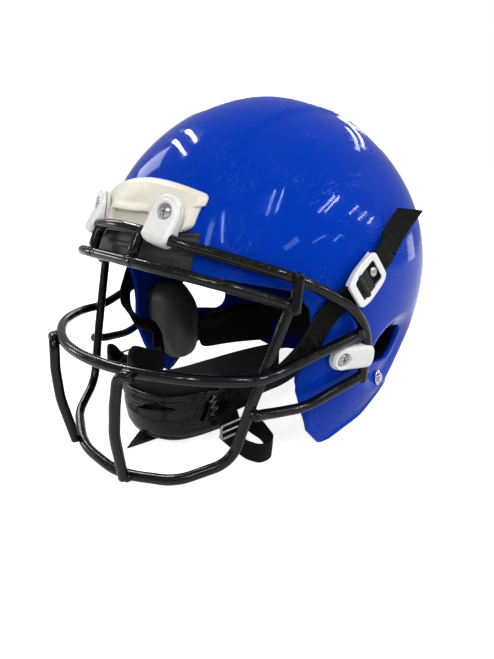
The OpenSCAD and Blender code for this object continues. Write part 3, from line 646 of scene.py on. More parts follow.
def vinyl_finish():
    look = Finish("pad_grey_vinyl", (0.05, 0.05, 0.048), 0.3, Specular_IOR_Level=0.8)
    where = look.at()
    grain = look.node("ShaderNodeTexVoronoi", {}, {"Vector": where, "Scale": 1100}, "Distance")
    cloud = look.noise(where, 26, 3, 0.6)
    scuff = look.noise(where, 140, 4, 0.65).between(0.55, 0.75)
    shade = look.tint((0.05, 0.051, 0.048), (0.16, 0.16, 0.15), cloud * 0.6 + scuff * 0.3)
    rough = cloud * 0.16 + scuff * 0.14 + 0.26
    return look.done(shade, rough, grain * 0.12 + look.noise(where, 70, 3, 0.6) * 0.9, 0.0007, 0.45)


def knit_finish(name, colour):
    look = Finish(name, colour, 0.8, Specular_IOR_Level=0.25)
    where = look.at()
    x, y, z = [look.part(where, k) for k in range(3)]
    pitch = 2 * math.pi / 0.0014
    loops = ((x + y) * pitch).sin() * ((z + x * 0.3) * pitch).sin()
    soft = look.noise(where, 40, 3, 0.6)
    shade = look.tint(colour, tuple(min(1, c * 2.4 + 0.01) for c in colour), soft * 0.5 + loops * 0.15 + 0.1)
    rough = soft * 0.2 + 0.68
    return look.done(shade, rough, loops * 0.4 + soft * 1.2, 0.0005, 0.5)


def cup_finish():
    look = Finish("cup_black_moulded", (0.004, 0.004, 0.005), 0.3, Specular_IOR_Level=0.25)
    where = look.at()
    marks = scratches(look, where, 330, (0.3, 1.5, 2.6), 0.014, 0.45)
    dust = look.noise(where, 60, 4, 0.6).between(0.5, 0.8)
    shade = look.tint((0.003, 0.003, 0.0035), (0.03, 0.031, 0.033), dust * 0.16 + marks * 0.4)
    rough = dust * 0.2 + marks * 0.1 + 0.2
    waves = look.noise(where, 26, 2) * 0.5 + look.noise(where, 1300, 1) * 0.03
    return look.done(shade, rough, waves + marks * -0.1, 0.0007, 0.4)


def plain_plastic(name, colour, rough):
    look = Finish(name, colour, rough, Specular_IOR_Level=0.3)
    where = look.at()
    mark = look.noise(where, 80, 4, 0.6)
    shade = look.tint(colour, tuple(min(1, c * 1.8 + 0.01) for c in colour), mark.between(0.45, 0.8) * 0.5)
    rough = mark * 0.2 + (rough - 0.1)
    return look.done(shade, rough, look.noise(where, 700, 2) * 0.15, 0.0003, 0.5)


BLUE, GUARD, WHITE, IVORY, TRIM = shell_finish(), guard_finish(), clip_finish(), bumper_finish(), trim_finish()
SCREW = steel_finish("screw_plated_steel", (0.5, 0.49, 0.47), 0.3)
NICKEL = steel_finish("stud_bright_nickel", (0.62, 0.63, 0.66), 0.22)
DARK_STEEL = steel_finish("loop_dull_steel", (0.42, 0.41, 0.38), 0.38)
WEBBING = webbing_finish("strap_black_webbing", (0.0008, 0.0008, 0.001), (0.009, 0.009, 0.0105))
GREY_WEBBING = webbing_finish("strap_worn_webbing", (0.002, 0.002, 0.0023), (0.03, 0.03, 0.032))
VINYL, CUP = vinyl_finish(), cup_finish()
KNIT = knit_finish("lining_black_knit", (0.004, 0.004, 0.005))
BONNET = plain_plastic("bonnet_black_plastic", (0.006, 0.006, 0.007), 0.5)
FOAM = plain_plastic("absorber_black_foam", (0.009, 0.009, 0.010), 0.75)
TEETH = plain_plastic("teeth_black_plastic", (0.006, 0.006, 0.007), 0.4)
THREAD = knit_finish("stitching_pale_thread", (0.11, 0.11, 0.108))


# The shell
SHELL_W, FRONT, REAR, MID_Z, CROWN, WALL, SHELL_Y = 236.0, 145.0, 135.8, 111.0, 136.0, 4.0, 23.3
FRONT_POWER, REAR_POWER, CROWN_POWER, JAW_TAPER, NAPE_TAPER = 2.1, 2.4, 1.93, 0.15, 0.3
EAR_Y, EAR_Z, EAR_LEN, EAR_H, EDGE_R, BROW_Z, ARCH = 40.0, 66.0, 54.0, 29.0, 6.0, 151.0, 22.0
FACE_HUB, NECK_HUB = (-175, 50), (50, -40)


def cosd(u):
    return np.cos(np.radians(u))


def sind(u):
    return np.sin(np.radians(u))


def ring(u, z, off=0.0):
    """The shell's share of its full width at a height."""
    taper = mix(JAW_TAPER, NAPE_TAPER, ramp(-cosd(u), -0.1, 0.9))
    top = np.maximum(0, 1 - (np.maximum(z - MID_Z, 0) / (CROWN + off)) ** CROWN_POWER) ** (1 / CROWN_POWER)
    return np.where(z >= MID_Z, top, 1 - taper * (np.minimum(z - MID_Z, 0) / MID_Z) ** 2)


def reach(u, off=0.0):
    """The shell's radius at its widest, by degrees from the front."""
    front = cosd(u) >= 0
    p = np.where(front, FRONT_POWER, REAR_POWER)
    length = np.where(front, FRONT, REAR) + off
    return ((np.abs(sind(u)) / (SHELL_W / 2 + off)) ** p + (np.abs(cosd(u)) / length) ** p) ** (-1 / p)


def on_shell(u, z, off=0.0):
    u, z = np.asarray(u, float), np.asarray(z, float)
    r = reach(u, off) * ring(u, z, off)
    return np.stack([r * sind(u), SHELL_Y - r * cosd(u), z + 0 * r], -1)


def out_of_shell(u, z, off=0.0):
    round_it = on_shell(u + 1, z, off) - on_shell(u - 1, z, off)
    up_it = on_shell(u, z + 1, off) - on_shell(u, z - 1, off)
    return unit(np.cross(round_it, up_it))


def shell_point(u, z, off=0.0):
    """A point of the shell with its hollow round the ear, its drawn-in jaw and its crown rib."""
    p = on_shell(u, z, off)
    x, y, h = p[..., 0], p[..., 1], p[..., 2]
    relief = -6 * (1 - ramp(np.hypot((y - EAR_Y - 4) / 44, (h - EAR_Z + 6) / 33), 0.55, 1))
    relief = relief - 3 * ramp(-y, 38, 58) * (1 - ramp(h, 96, 112))
    relief = relief + 1.2 * (0.5 - ramp(np.abs(x), 44, 50)) * ramp(h, 160, 200)
    way = unit(np.stack([x, 0.6 * (y - SHELL_Y), 0.9 * np.maximum(0, h - MID_Z)], -1) + 1e-9)
    return p + relief[..., None] * way


def to_segments(p, line):
    """Distance from points in the side view to a polyline."""
    best = np.full(p.shape[:-1], 1e9)
    for a, b in zip(line, line[1:]):
        a, b = vec(*a), vec(*b)
        t = np.clip(((p - a) @ (b - a)) / ((b - a) @ (b - a)), 0, 1)
        best = np.minimum(best, np.linalg.norm(p - a - t[..., None] * (b - a), axis=-1))
    return best


def to_fan(p, line, hub):
    """Distance to the area swept between a polyline and a hub point: zero inside."""
    best = np.full(p.shape[:-1], 1e9)
    for a, b in zip(line, line[1:]):
        corners = [vec(*a), vec(*b), vec(*hub)]
        d = to_segments(p, corners + corners[:1])
        edges = zip(corners, corners[1:] + corners[:1])
        sides = [(q - c)[0] * (p[..., 1] - c[1]) - (q - c)[1] * (p[..., 0] - c[0]) for c, q in edges]
        within = np.all([s >= 0 for s in sides], 0) | np.all([s <= 0 for s in sides], 0)
        best = np.minimum(best, np.where(within, 0, d))
    return best


# The middle lines of the cuts for the face and under the neck, in y and z of the side view
FACE_LINE = [(-150, BROW_Z - 3 - EDGE_R), (-66, 120.5), (-58, 111), (-55, 97), (-55.5, 80), (-60, 66), (-59, 52),
             (-52.5, 33), (-43.5, 13), (-27, -5), (-23, -12), (-175, -40)]
NECK_LINE = [(-15, -7), (2, 0.5), (20, 5.0), (34, ARCH - 10), (50, ARCH - 5), (78, ARCH - 10), (100, -7)]
RIM = 1.5


def shell_keep(p):
    """Distance inside the shell's edges: face opening, neck arch, ear holes and the floor."""
    side = p[..., 1:]
    face = to_fan(side, FACE_LINE, FACE_HUB) - EDGE_R
    neck = to_fan(side, NECK_LINE, NECK_HUB) - EDGE_R
    slant = (EAR_LEN - EAR_H) / 2
    ear = to_segments(side, [(EAR_Y - slant, EAR_Z + 2.5), (EAR_Y + slant, EAR_Z - 2.5)]) - EAR_H / 2
    return np.minimum(np.minimum(face, neck), np.minimum(ear, p[..., 2])) - RIM


def shell_level(t):
    """Height of a row: even steps up to the middle, then even turns to the crown."""
    t = np.asarray(t, float)
    up = np.abs(sind(np.clip(t, 0, 90))) ** (2 / CROWN_POWER)
    return np.where(t < 0, MID_Z + t, MID_Z + CROWN * up)


def shell_form(a, b):
    """The shell with a raised rim along its jaw and neck, left low where the clips and the trim sit."""
    p = shell_point(a, shell_level(np.minimum(b, 89.9)))
    y, h = p[..., 1], p[..., 2]
    side = p[..., 1:]
    from_edge = np.minimum(to_fan(side, FACE_LINE, FACE_HUB), to_fan(side, NECK_LINE, NECK_HUB)) - EDGE_R
    held = ramp(h, 56, 62) * (1 - ramp(h, 95, 100)) * (1 - ramp(y, -30, -20))
    rim = (1 - ramp(from_edge, 3.0, 5.8)) * ramp(y, -98, -88) * (1 - held)
    way = unit(np.stack([p[..., 0], 0.6 * (y - SHELL_Y), 0 * y], -1) + 1e-9)
    return p + 1.2 * rim[..., None] * way


def dress_shell():
    turns = np.arange(0, 360, 1.2)
    rows = np.concatenate([np.arange(-MID_Z - 1, 0, 1.5), np.arange(0, 89, 1.4), [89.9]])
    shape = sheet_solid(shell_form, shell_keep, turns, rows, WALL, RIM, closed=True)
    solid("helmet_shell", shape, BLUE, "helmet", ["shell"])


# Where the clips hold the guard
WIRE_R, CLIP_W, CLIP_R, CLIP_LOW, CLIP_LEN = 3.5, 20.0, 6.0, -6.1, 26.0
TOP_AT = vec(36.5, -114.3, 157.7)
TOP_T = unit((0.955, 0.24, -0.19))
TOP_UP = square_to(vec(-0.03, 0.26, 0.965), TOP_T)
TOP_N = np.cross(TOP_T, TOP_UP)
TOP_SCREW = TOP_AT + 15 * TOP_UP
SIDE_W = 14.5
SIDE_SCREW_FOOT = vec(109.692, -28, 77)
SIDE_N = unit((0.957843, -0.269392, -0.0998265))
SIDE_FWD = square_to(vec(0, -1, -0.07), SIDE_N)
SIDE_T = np.cross(SIDE_FWD, SIDE_N)
SIDE_SCREW = SIDE_SCREW_FOOT + 6.4 * SIDE_N
SIDE_AT = SIDE_SCREW - 19 * SIDE_FWD


# The face guard
def mirrored(half, middle=()):
    """The path of a bar across the helmet, from its left half."""
    return [flip(p) for p in half[::-1]] + [vec(*p) for p in middle] + [vec(*p) for p in half]


def both(radii, middle=()):
    """Its bend radii, likewise."""
    return list(radii[::-1]) + list(middle) + list(radii)


def lumpy(points, amount, scale=0.11, seed=1.0):
    """The slight unevenness of a thick dipped coating."""
    p = points * scale
    wave = np.sin(p[:, 0] * 2.1 + seed) * np.sin(p[:, 1] * 2.7 + 2 * seed)
    wave = wave + np.sin(p[:, 2] * 3.3 + p[:, 0] + 3 * seed) * 0.6
    return points + amount * wave[:, None] * unit(np.sin(p * 1.7 + seed) + 0.01)


def guard_piece(name, path, node):
    points, faces = wire(path, WIRE_R)
    solid(name, (lumpy(points, 0.1), faces), GUARD, "helmet", [node])


TOP_HALF = [TOP_AT - 13 * TOP_T, TOP_AT + 13 * TOP_T, vec(107, -65, 134.5), vec(121.6, -25.5, 111),
            SIDE_AT + (SIDE_W / 2 + 5) * SIDE_T, SIDE_AT - 21 * SIDE_T]
BROW_HALF = [vec(38, -126, 142.5), vec(80, -103, 133.5), vec(104.4, -73, 120.8)]
MOUTH_HALF = [vec(28.6, -154, 83.5), vec(79.7, -128.4, 82.5), vec(102, -99, 79.7), vec(103.5, -80, 79.3),
              vec(120, -18, 93.5)]
CHIN_HALF = [vec(25, -149.5, 3.5), vec(64, -131.5, 8.5), vec(86, -104, 20), vec(92.5, -93, 58), vec(104, -72.6, 118)]
TIE_TOP = mix(TOP_HALF[0], vec(0, -122, 163), 1 - 22.8 / TOP_HALF[0][0])
TIE_LOW = vec(23.2, BROW_HALF[0][1] - 0.5, BROW_HALF[0][2])
SIDE_TIE = [vec(106.9, -68.3, 138), vec(107.7, -70.6, 128), vec(108.6, -73.4, 117.4)]
UPRIGHT = [vec(50, -149.4, 82.2), vec(41.5, -152.4, 82.2), vec(39.5, -155.3, 62), vec(36.5, -156, 40),
           vec(32.5, -150.5, 5)]
LOWER_SIDE = [vec(98, -95, 54), vec(98, -84, 51), vec(105, -55, 47), SIDE_AT - 18 * SIDE_T + vec(-1, -2, 0)]


TIE_STEP = unit(TIE_LOW - TIE_TOP) * 2.7
BROW_TIE = [TIE_TOP + TIE_STEP, mix(TIE_TOP, TIE_LOW, 0.5) + vec(0.2, -1, 0), TIE_LOW - TIE_STEP]
# Weld metal that fills the valleys between touching wires, each bead by its two ends and its radius
WELDS = [((44, -149.2, 83.2), (49, -147.6, 83.2), 2.9), ((33.4, -149.4, 4.6), (34.6, -147.0, 5.4), 3.2),
         ((104.6, -66.2, 136.8), (105.8, -66.9, 131.4), 3.1), ((105.5, -74.0, 119.6), (107.6, -72.4, 120.8), 3.4),
         ((95.2, -93.4, 53.2), (96.8, -94.4, 55.4), 3.0), ((118.8, -13.0, 57.6), (117.8, -14.0, 61.2), 3.0),
         ((121.8, -19.0, 92.2), (121.4, -22.0, 96.4), 3.0), ((102.2, -84.4, 79.6), (99.4, -86.8, 80.2), 2.9),
         (TIE_TOP + vec(-2.4, 0, 0), TIE_TOP + vec(2.4, 0, -0.4), 3.4),
         (TIE_LOW + vec(-2.2, 0, 0.2), TIE_LOW + vec(2.2, 0, 0.2), 3.4)]


def dress_guard():
    top_radii = both([30, 30, 60, 60, 30], [90])
    guard_piece("guard_top_wire", route(mirrored(TOP_HALF, [(0, -122, 163)]), top_radii), "top_bar")
    guard_piece("guard_brow_wire", route(mirrored(BROW_HALF), both([60, 60])), "brow_bar")
    guard_piece("guard_mouth_wire", route(mirrored(MOUTH_HALF), both([118, 100, 30, 60])), "mouth_bar")
    guard_piece("guard_chin_wire", route(mirrored(CHIN_HALF), both([80, 40, 24, 60])), "chin_bar")
    shorter = (("guard_upright_", "front_upright_", UPRIGHT, [7, 40, 60]),
               ("guard_lower_side_wire_", "lower_side_bar_", LOWER_SIDE, [20, 50]),
               ("guard_brow_tie_", "brow_tie_", BROW_TIE, [60]),
               ("guard_side_tie_", "side_tie_", SIDE_TIE, [60]))
    for side, word in SIDES:
        way = vec(side, 1, 1)
        for name, node, points, radii in shorter:
            guard_piece(name + word, route([p * way for p in points], radii), node + word)
        parts = []
        for corner, down in ((TIE_TOP, 1), (TIE_LOW, -1)):
            web = [corner + TIE_STEP * 3.4 * down, corner + vec(-0.4, 0, 0), corner + vec(-9, 0, 0)]
            parts.append(wire(route([p * way for p in web], [7], 12, 2), 3.0))
        for a, b, r in WELDS:
            parts.append(wire(np.array([mix(a * way, b * way, k / 6) for k in range(7)]), r))
        points, faces = joined(*parts)
        solid("guard_weld_beads_" + word, (lumpy(points, 0.25, 0.4), faces), GUARD, "helmet")


# Bumpers and trim
def before(x, z, off):
    """The point of the shell's front at a given x and height."""
    k = ring(0.0, z, off)
    w = np.clip(np.abs(x) / ((SHELL_W / 2 + off) * k), 0, 1)
    y = SHELL_Y - (FRONT + off) * k * (1 - w ** FRONT_POWER) ** (1 / FRONT_POWER)
    return np.stack([x + 0 * z, y, z + 0 * x], -1)


CLIPS = [(Place(TOP_AT, TOP_T, TOP_N, side), side) for side, _ in SIDES]


def cleared(points, gap):
    """Points of the brow moved down where a clip or its wire passes over them."""
    for place, side in CLIPS:
        q = place.into(points)
        d = np.where(q[..., 1] < 16, np.abs(q[..., 0]), np.hypot(q[..., 0], q[..., 1] - 16)) - CLIP_W / 2 - gap
        under = (q[..., 2] > CLIP_LOW - gap) & (q[..., 1] > -20)
        drop = np.where(under, (q[..., 2] - CLIP_LOW + gap) * (1 - ramp(d, 0, 1.6)), 0)
        wire_gap = WIRE_R + gap - np.hypot(q[..., 1], q[..., 2])
        drop = np.maximum(drop, np.where(np.abs(q[..., 0]) < 36, np.maximum(wire_gap, 0), 0))
        points = points - drop[..., None] * (place.axes[2] * [side, 1, 1])
    return points


def slab_solid(outer, inner):
    """Two grids of points joined round their edges."""
    n, m = outer.shape[:2]
    total = n * m
    faces = strip_faces(n, m, False) + [f[::-1] for f in strip_faces(n, m, False, total)]
    border = [i * m for i in range(n)] + [(n - 1) * m + k for k in range(1, m)]
    border += [i * m + m - 1 for i in range(n - 2, -1, -1)] + list(range(m - 2, 0, -1))
    for p, q in zip(border, border[1:] + border[:1]):
        faces.append([p, q, q + total, p + total])
    return np.concatenate([outer.reshape(-1, 3), inner.reshape(-1, 3)]), faces


def swelled(edge, width):
    """0 at an edge, 1 from width inward, round in between."""
    return np.sqrt(np.clip(1 - (1 - np.clip(edge / width, 0, 1)) ** 2, 0, 1))


BUMPER_LOW, BUMPER_TOP, BUMPER_HALF, BUMPER_OFF, PANEL_TOP = 160.0, 190.0, 52.5, 0.6, 170.0
TRIM_TOP, TRIM_HALF, BROW_GAP = 159.7, 53.5, 0.35


def dress_bumper():
    """The front bumper: a sunk panel between the clips, a lip over it, and ends that curl in."""
    quarter = math.pi / 2
    s, t = np.sin(np.linspace(-quarter, quarter, 150)), 0.5 + 0.5 * np.sin(np.linspace(-quarter, quarter, 84))
    S, T = np.meshgrid(s, t, indexing="xy")
    top = mix(BUMPER_LOW, BUMPER_TOP, 1 - 0.27 * S * S)
    Z = mix(BUMPER_LOW, top, T)
    curl = [1 - np.sqrt(1 - np.clip(c, 0, 1) ** 2) for c in (1 - T / 0.22, (T - 0.78) / 0.22)]
    notch = 1.8 * (1 - ramp(T, 0.62, 0.68))
    X = S * (51.0 - 6.0 * curl[0] - 5.0 * curl[1] - notch * ramp(np.abs(S), 0.85, 1))
    mid = 1 - ramp(np.abs(S) * BUMPER_HALF, 19, 22)
    depth = mix(6.0, 4.0, (Z - BUMPER_LOW) / (BUMPER_TOP - BUMPER_LOW))
    depth = depth - 3.0 * mid * (1 - ramp(Z, PANEL_TOP, PANEL_TOP + 0.8)) * ramp(Z, 161.6, 162.6)
    depth = depth + 0.8 * mid * ramp(Z, PANEL_TOP, PANEL_TOP + 0.8) * (1 - ramp(Z, 172, 176))
    edge = np.minimum(np.minimum((1 - np.abs(S)) * BUMPER_HALF, T * (top - BUMPER_LOW)), (1 - T) * (top - BUMPER_LOW))
    pillow = 0.5 * ramp(edge, 2, 12) * np.sin(S * 7 + 0.6) * np.sin(Z * 0.35)
    lift = BUMPER_OFF + (depth - BUMPER_OFF + pillow * 0.5) * (0.12 + 0.88 * swelled(edge, 2.6))
    outer = cleared(before(X, Z, lift), BROW_GAP)
    thin = np.linalg.norm(outer - before(X, Z, 0 * Z), axis=-1) < 1.2
    inner = before(X, Z, 0 * Z + BUMPER_OFF)
    inner = np.where(thin[..., None], outer - 0.5 * unit(outer - vec(0, SHELL_Y, MID_Z)), inner)
    solid("brow_bumper_moulding", slab_solid(outer, inner), IVORY, "helmet", ["brow_bumper"])


def dress_trim():
    """The dark strip under the bumper, down to the shell's edge, with a groove along it."""
    S, T = np.meshgrid(np.linspace(-1, 1, 110), np.linspace(0, 1, 46), indexing="xy")
    low = 150.2 - 0.256 * (before(S * TRIM_HALF, 0 * S + 142, 0)[..., 1] + 150)
    Z = mix(low, TRIM_TOP, T)
    edge = np.minimum(np.minimum((1 - np.abs(S)) * TRIM_HALF, Z - low), TRIM_TOP - Z)
    groove = 0.6 * ramp(Z, 150.6, 151.4) * (1 - ramp(Z, 157.4, 158.2))
    lift = 0.45 + (0.35 + 1.5 * ramp(Z, 147.6, 148.8)) * swelled(edge, 1.2) - groove
    outer = cleared(before(S * TRIM_HALF, Z, lift), BROW_GAP)
    inner = before(S * TRIM_HALF, Z, 0 * Z + 0.4)
    solid("brow_trim_strip", slab_solid(outer, inner), TRIM, "helmet", ["brow_trim"])


def dress_nape():
    """The rear bumper, with a sunk panel."""
    U, Z = np.meshgrid(np.linspace(156, 204, 90), np.linspace(25, 54, 50), indexing="xy")
    edge = np.minimum((24 - np.abs(U - 180)) * 2.3, 14.5 - np.abs(Z - 39.5))
    outer = on_shell(U, Z, 0.6 + 3.0 * swelled(edge, 3) - 0.8 * ramp(edge, 4, 5))
    shape = slab_solid(outer, on_shell(U, Z, 0.6))
    solid("nape_bumper_moulding", shape, TRIM, "helmet", ["rear_bumper"])


# Clips, screws and nuts
def clip_distance(p, w, length, screw_y, corner):
    """A strap of plastic round the wire, its two legs drawn together by a screw in a sunk boss."""
    x, y, z = p[..., 0], p[..., 1], p[..., 2]
    t = np.clip(y / (screw_y - 1), 0, 1)
    loop = np.hypot(y - t * (screw_y - 1), z + 2.6 * t) - mix(CLIP_R, 3.6, t)
    legs = box_off(p - vec(0, length / 2 - 4, CLIP_LOW / 2), (w / 2, length / 2 + 4, -CLIP_LOW / 2), 0.8)
    body = either_of(loop, legs, 1.6)
    plan = np.where(y < length - w / 2, np.abs(x), np.hypot(x, y - length + w / 2)) - w / 2
    foot = np.hypot(np.maximum(np.abs(x) - w / 2 + corner, 0), np.maximum(corner - 6 - y, 0)) - corner
    body = both_of(body, np.maximum(plan, foot), 3.2)
    boss = np.hypot(x, y - screw_y)
    body = either_of(body, np.maximum(np.maximum(boss - 7.0, z - 1.0), -z - 2), 1.2)
    body = both_of(body, -np.maximum(boss - 5.1, -z - 1.6), 0.7)
    body = both_of(body, WIRE_R + 0.05 - np.hypot(y, z), 0.4)
    gap = np.maximum(np.abs(z - CLIP_LOW / 2) - 0.32, 3.0 - y)
    return both_of(body, -gap, 0.3)


def screw_distance(p):
    x, y, z = p[..., 0], p[..., 1], p[..., 2]
    r = np.hypot(x, y)
    head = np.maximum(np.sqrt(r * r + (z + 4.6) ** 2) - 5.9, -1.3 - z)
    head = both_of(head, r - 4.3, 0.5)
    cross = np.maximum(np.minimum(box_off(p, (2.5, 0.55, 9)), box_off(p, (0.55, 2.5, 9))), 0.1 - z - r * 0.25)
    return both_of(head, -cross, 0.2)


def dress_clips():
    # wire, axes and screw of each kind, its width, length and corner, the screw's distance from the wire and reach
    kinds = (("top", TOP_AT, TOP_T, TOP_N, TOP_SCREW, CLIP_W, CLIP_LEN, 6.5, 15.0, 21.0),
             ("side", SIDE_AT, SIDE_T, SIDE_N, SIDE_SCREW, SIDE_W + 2.5, CLIP_LEN + 1.5, 9.0, 19.0, 12.0))
    for side, word in SIDES:
        for where, at, across, out, screw_at, w, length, corner, screw_y, deep in kinds:
            clip = moulded_at(Place(at, across, out, side), lambda p: clip_distance(p, w, length, screw_y, corner),
                              (-w / 2 - 1, -7, -7), (w / 2 + 1, length + 1, 7), 0.42)
            solid(where + "_clip_moulding_" + word, clip, WHITE, "helmet", [where + "_clip_" + word])
            screw = Place(screw_at, across, out, side)
            head = moulded_at(screw, screw_distance, (-4.8, -4.8, -1.6), (4.8, 4.8, 1.8), 0.16)
            shank = turned(softened([(0.1, -deep), (2.0, -deep), (2.1, -1.0), (0.1, -1.0)]), screw)
            group = [where + "_clip_screws"] if side > 0 else []
            solid(where + "_screw_" + word, joined(head, shank), SCREW, "helmet", group)


# Webbing straps
def webbing(path, faces_to, w=16.0, t=1.6, slant=0.0):
    """A flat strap along a path, its edges bound, with lengths as UVs. Slant is how far its end is cut askew."""
    d = tangents(path)
    b = square_to(faces_to, d)
    a = np.cross(d, b)
    half = [(-1 + 2 * k / 8, 1) for k in range(9)] + [(1.03, 0.5), (1.04, 0), (1.03, -0.5)]
    outline = half + [(-x, -y) for x, y in half]
    rings, uvs = [], []
    run = np.concatenate([[0], np.cumsum(np.linalg.norm(np.diff(path, axis=0), axis=1))])
    for i in range(len(path)):
        row = []
        askew = abs(slant) * max(0.0, 1 - (run[-1] - run[i]) / 26)
        for x, y in outline:
            pinch = 1 - 0.3 * (abs(x) > 0.7) * (abs(x) < 0.95)
            more = askew * (0.5 + 0.5 * x * np.sign(slant))
            row.append(path[i] + a[i] * x * w / 2.1 + b[i] * y * t / 2 * pinch + d[i] * more)
            uvs.append((x * w / 2, run[i]))
        rings.append(row)
    points, faces = rings_solid(rings, path[0], path[-1])
    uvs += [(0, 0), (0, run[-1])]
    return points, faces, uvs


STUD_U, STUD_Z, LOW_STUD_U, LOW_STUD_Z = 74.3, 132.0, 98.4, 37.0


def at_stud(u, z, lift, side):
    """The place of a stud: x along the strap, z out of the shell."""
    n = unit(np.cross(shell_point(u + 2, z) - shell_point(u - 2, z), shell_point(u, z + 6) - shell_point(u, z - 6)))
    return Place(shell_point(u, z) + n * lift, square_to(vec(0, 0.833, 0.553), n), n, side)


def out_at(p):
    return out_of_shell(np.degrees(np.arctan2(p[:, 0], SHELL_Y - p[:, 1])), p[:, 2])


def beside(y, z, off):
    """The point of the shell's left side at a given y and height."""
    k = float(ring(80.0, z, off))
    share = (1 - (abs(y - SHELL_Y) / ((FRONT + off) * k)) ** FRONT_POWER) ** (1 / FRONT_POWER)
    return vec((SHELL_W / 2 + off) * k * share, y, z)


def by_stud(x, lift):
    return at_stud(STUD_U, STUD_Z, lift, 1).out((x, 0, 0))


STRAP_OFF, IN_BUCKLE, ASKEW, LOOSE_W = 1.5, 5.9, 10.5, 18.0
TAIL_FACE = unit((0.5, -0.5, 0.68))
BUCKLE_RUN = [beside(-36, 113, STRAP_OFF), by_stud(-26, 1.9), by_stud(-18, IN_BUCKLE), by_stud(9, IN_BUCKLE)]
TAIL_RUN = [by_stud(20, 5.4), vec(115.2, 20, 151.6), vec(117, 34.5, 165)]
TAUT = [(50.5, -75, 36), (58, -64, 41), (79, -64, 58), (100.5, -62.5, 76), (105.5, -53, 90), (108, -45.5, 103)]
TAUT_RADII = [6, 60, 60, 16, 20, 30, 8, 12, 12, 30, 60]
SLACK = [(50.5, -75, 36), (53, -58, 42), (66, -50, 58), (82, -60, 66), (98, -60.5, 76), (101.5, -57.5, 88),
         (107, -46.5, 103)]
SLACK_RADII = [6, 14, 14, 14, 8, 16, 30, 8, 12, 12, 30, 60]
LOOSE_LEFT = [(51, -84.5, 32), (58, -82, 38), (60, -80, 26), (61, -80, 15), (73, -77, 10), (84, -74, 10),
              (86.5, -63, 12), (71.5, -59.6, 17), (61, -63, 22)]
LOOSE_RIGHT = [(-49.4, -82, 34), (-58.5, -96, 42), (-72, -99, 47), (-77.8, -89.2, 42.4), (-69, -72, 20),
               (-44, -62, 4), (2, -80, 3), (-4.4, -109.3, 2.4)]


def strap_faces(p):
    """Which way an upper strap faces at its points: out of the shell, then turned up at its tail."""
    low = mix(vec(0.98, -0.2, 0), out_at(p), ramp(p[:, 2], 40, 80)[:, None])
    return mix(low, TAIL_FACE, 0.55 * ramp(p[:, 1], -4, 34)[:, None])


def dress_straps():
    for (side, word), start, radii in zip(SIDES, (TAUT, SLACK), (TAUT_RADII, SLACK_RADII)):
        path = route(start + BUCKLE_RUN + TAIL_RUN, radii, 6, 3)
        strap = on_side(webbing(path, strap_faces(path), slant=ASKEW), side)
        solid("upper_strap_webbing_" + word, strap, WEBBING, "chin_cup", ["upper_strap_" + word])
    path = route(LOOSE_LEFT, [3, 6, 8, 8, 8, 6, 10], 8, 2.5)
    across = mix(vec(0, 0.97, 0.24), vec(0.2, -0.15, 0.95), ramp(np.linspace(0, 1, len(path)), 0.24, 0.46)[:, None])
    left = webbing(path, np.cross(across, tangents(path)), LOOSE_W)
    path = route(LOOSE_RIGHT, [8, 8, 8, 14, 14, 16], 8, 2.5)
    x, z = path[:, 0], path[:, 2]
    hanging = np.stack([-0.7 + 0 * x, -0.5 + (x + 71) / 71, 0.05 + 0 * x], -1)
    right = webbing(path, unit(mix(vec(0, 0, 1), hanging, ramp(z, 4, 30)[:, None])), LOOSE_W, slant=-17.0)
    for (_, word), strap, look in zip(SIDES, (left, right), (WEBBING, GREY_WEBBING)):
        node = ["lower_strap_" + word]
        solid("loose_strap_webbing_" + word, strap, look, "loose_strap_" + word, node)


# Studs, snaps and buckles
# Turned profiles, as pairs of radius and height
STUD = [(0.1, 0), (6.2, 0), (6.25, 0.5), (5.2, 0.8), (3.2, 0.85), (3.0, 1.6), (3.6, 1.7), (3.6, 2.6), (2.6, 3.0),
        (0.9, 3.0), (0.1, 2.8)]
SOCKET = [(3.1, 0.05), (6.1, 0.05), (6.5, 0.5), (6.5, 1.6), (5.6, 2.3), (4.2, 2.6), (3.4, 2.3), (1.6, 2.25),
          (0.1, 2.3)]
BOSS = [(0.1, -1.5), (7.6, -1.5), (7.2, -0.2), (6.9, 0.75), (0.1, 0.8)]
RIVET = [(0.1, 0), (3.2, 0), (3.2, 0.5), (2.2, 1.1), (1.5, 1.2), (1.2, 0.9), (0.1, 0.85)]
SOCKET_LIFT, BUCKLE_LIFT = 1.4, 4.8


def dress_studs():
    for side, word in SIDES:
        for level, u, z, lift in (("upper_stud_", STUD_U, STUD_Z, 0.3), ("lower_stud_", LOW_STUD_U, LOW_STUD_Z, 1.1)):
            stud = turned(softened(STUD), at_stud(u, z, lift, side))
            solid(level + "turned_" + word, stud, NICKEL, "helmet", [level + word])
        boss = turned(softened(BOSS, 0.5), at_stud(LOW_STUD_U, LOW_STUD_Z, 0, side))
        solid("lower_stud_boss_" + word, boss, BLUE, "helmet")
        snap = turned(softened(SOCKET), at_stud(STUD_U, STUD_Z, SOCKET_LIFT, side))
        node = ["upper_snap_" + word]
        solid("upper_snap_pressed_" + word, snap, NICKEL, "upper_buckle_" + word, node)


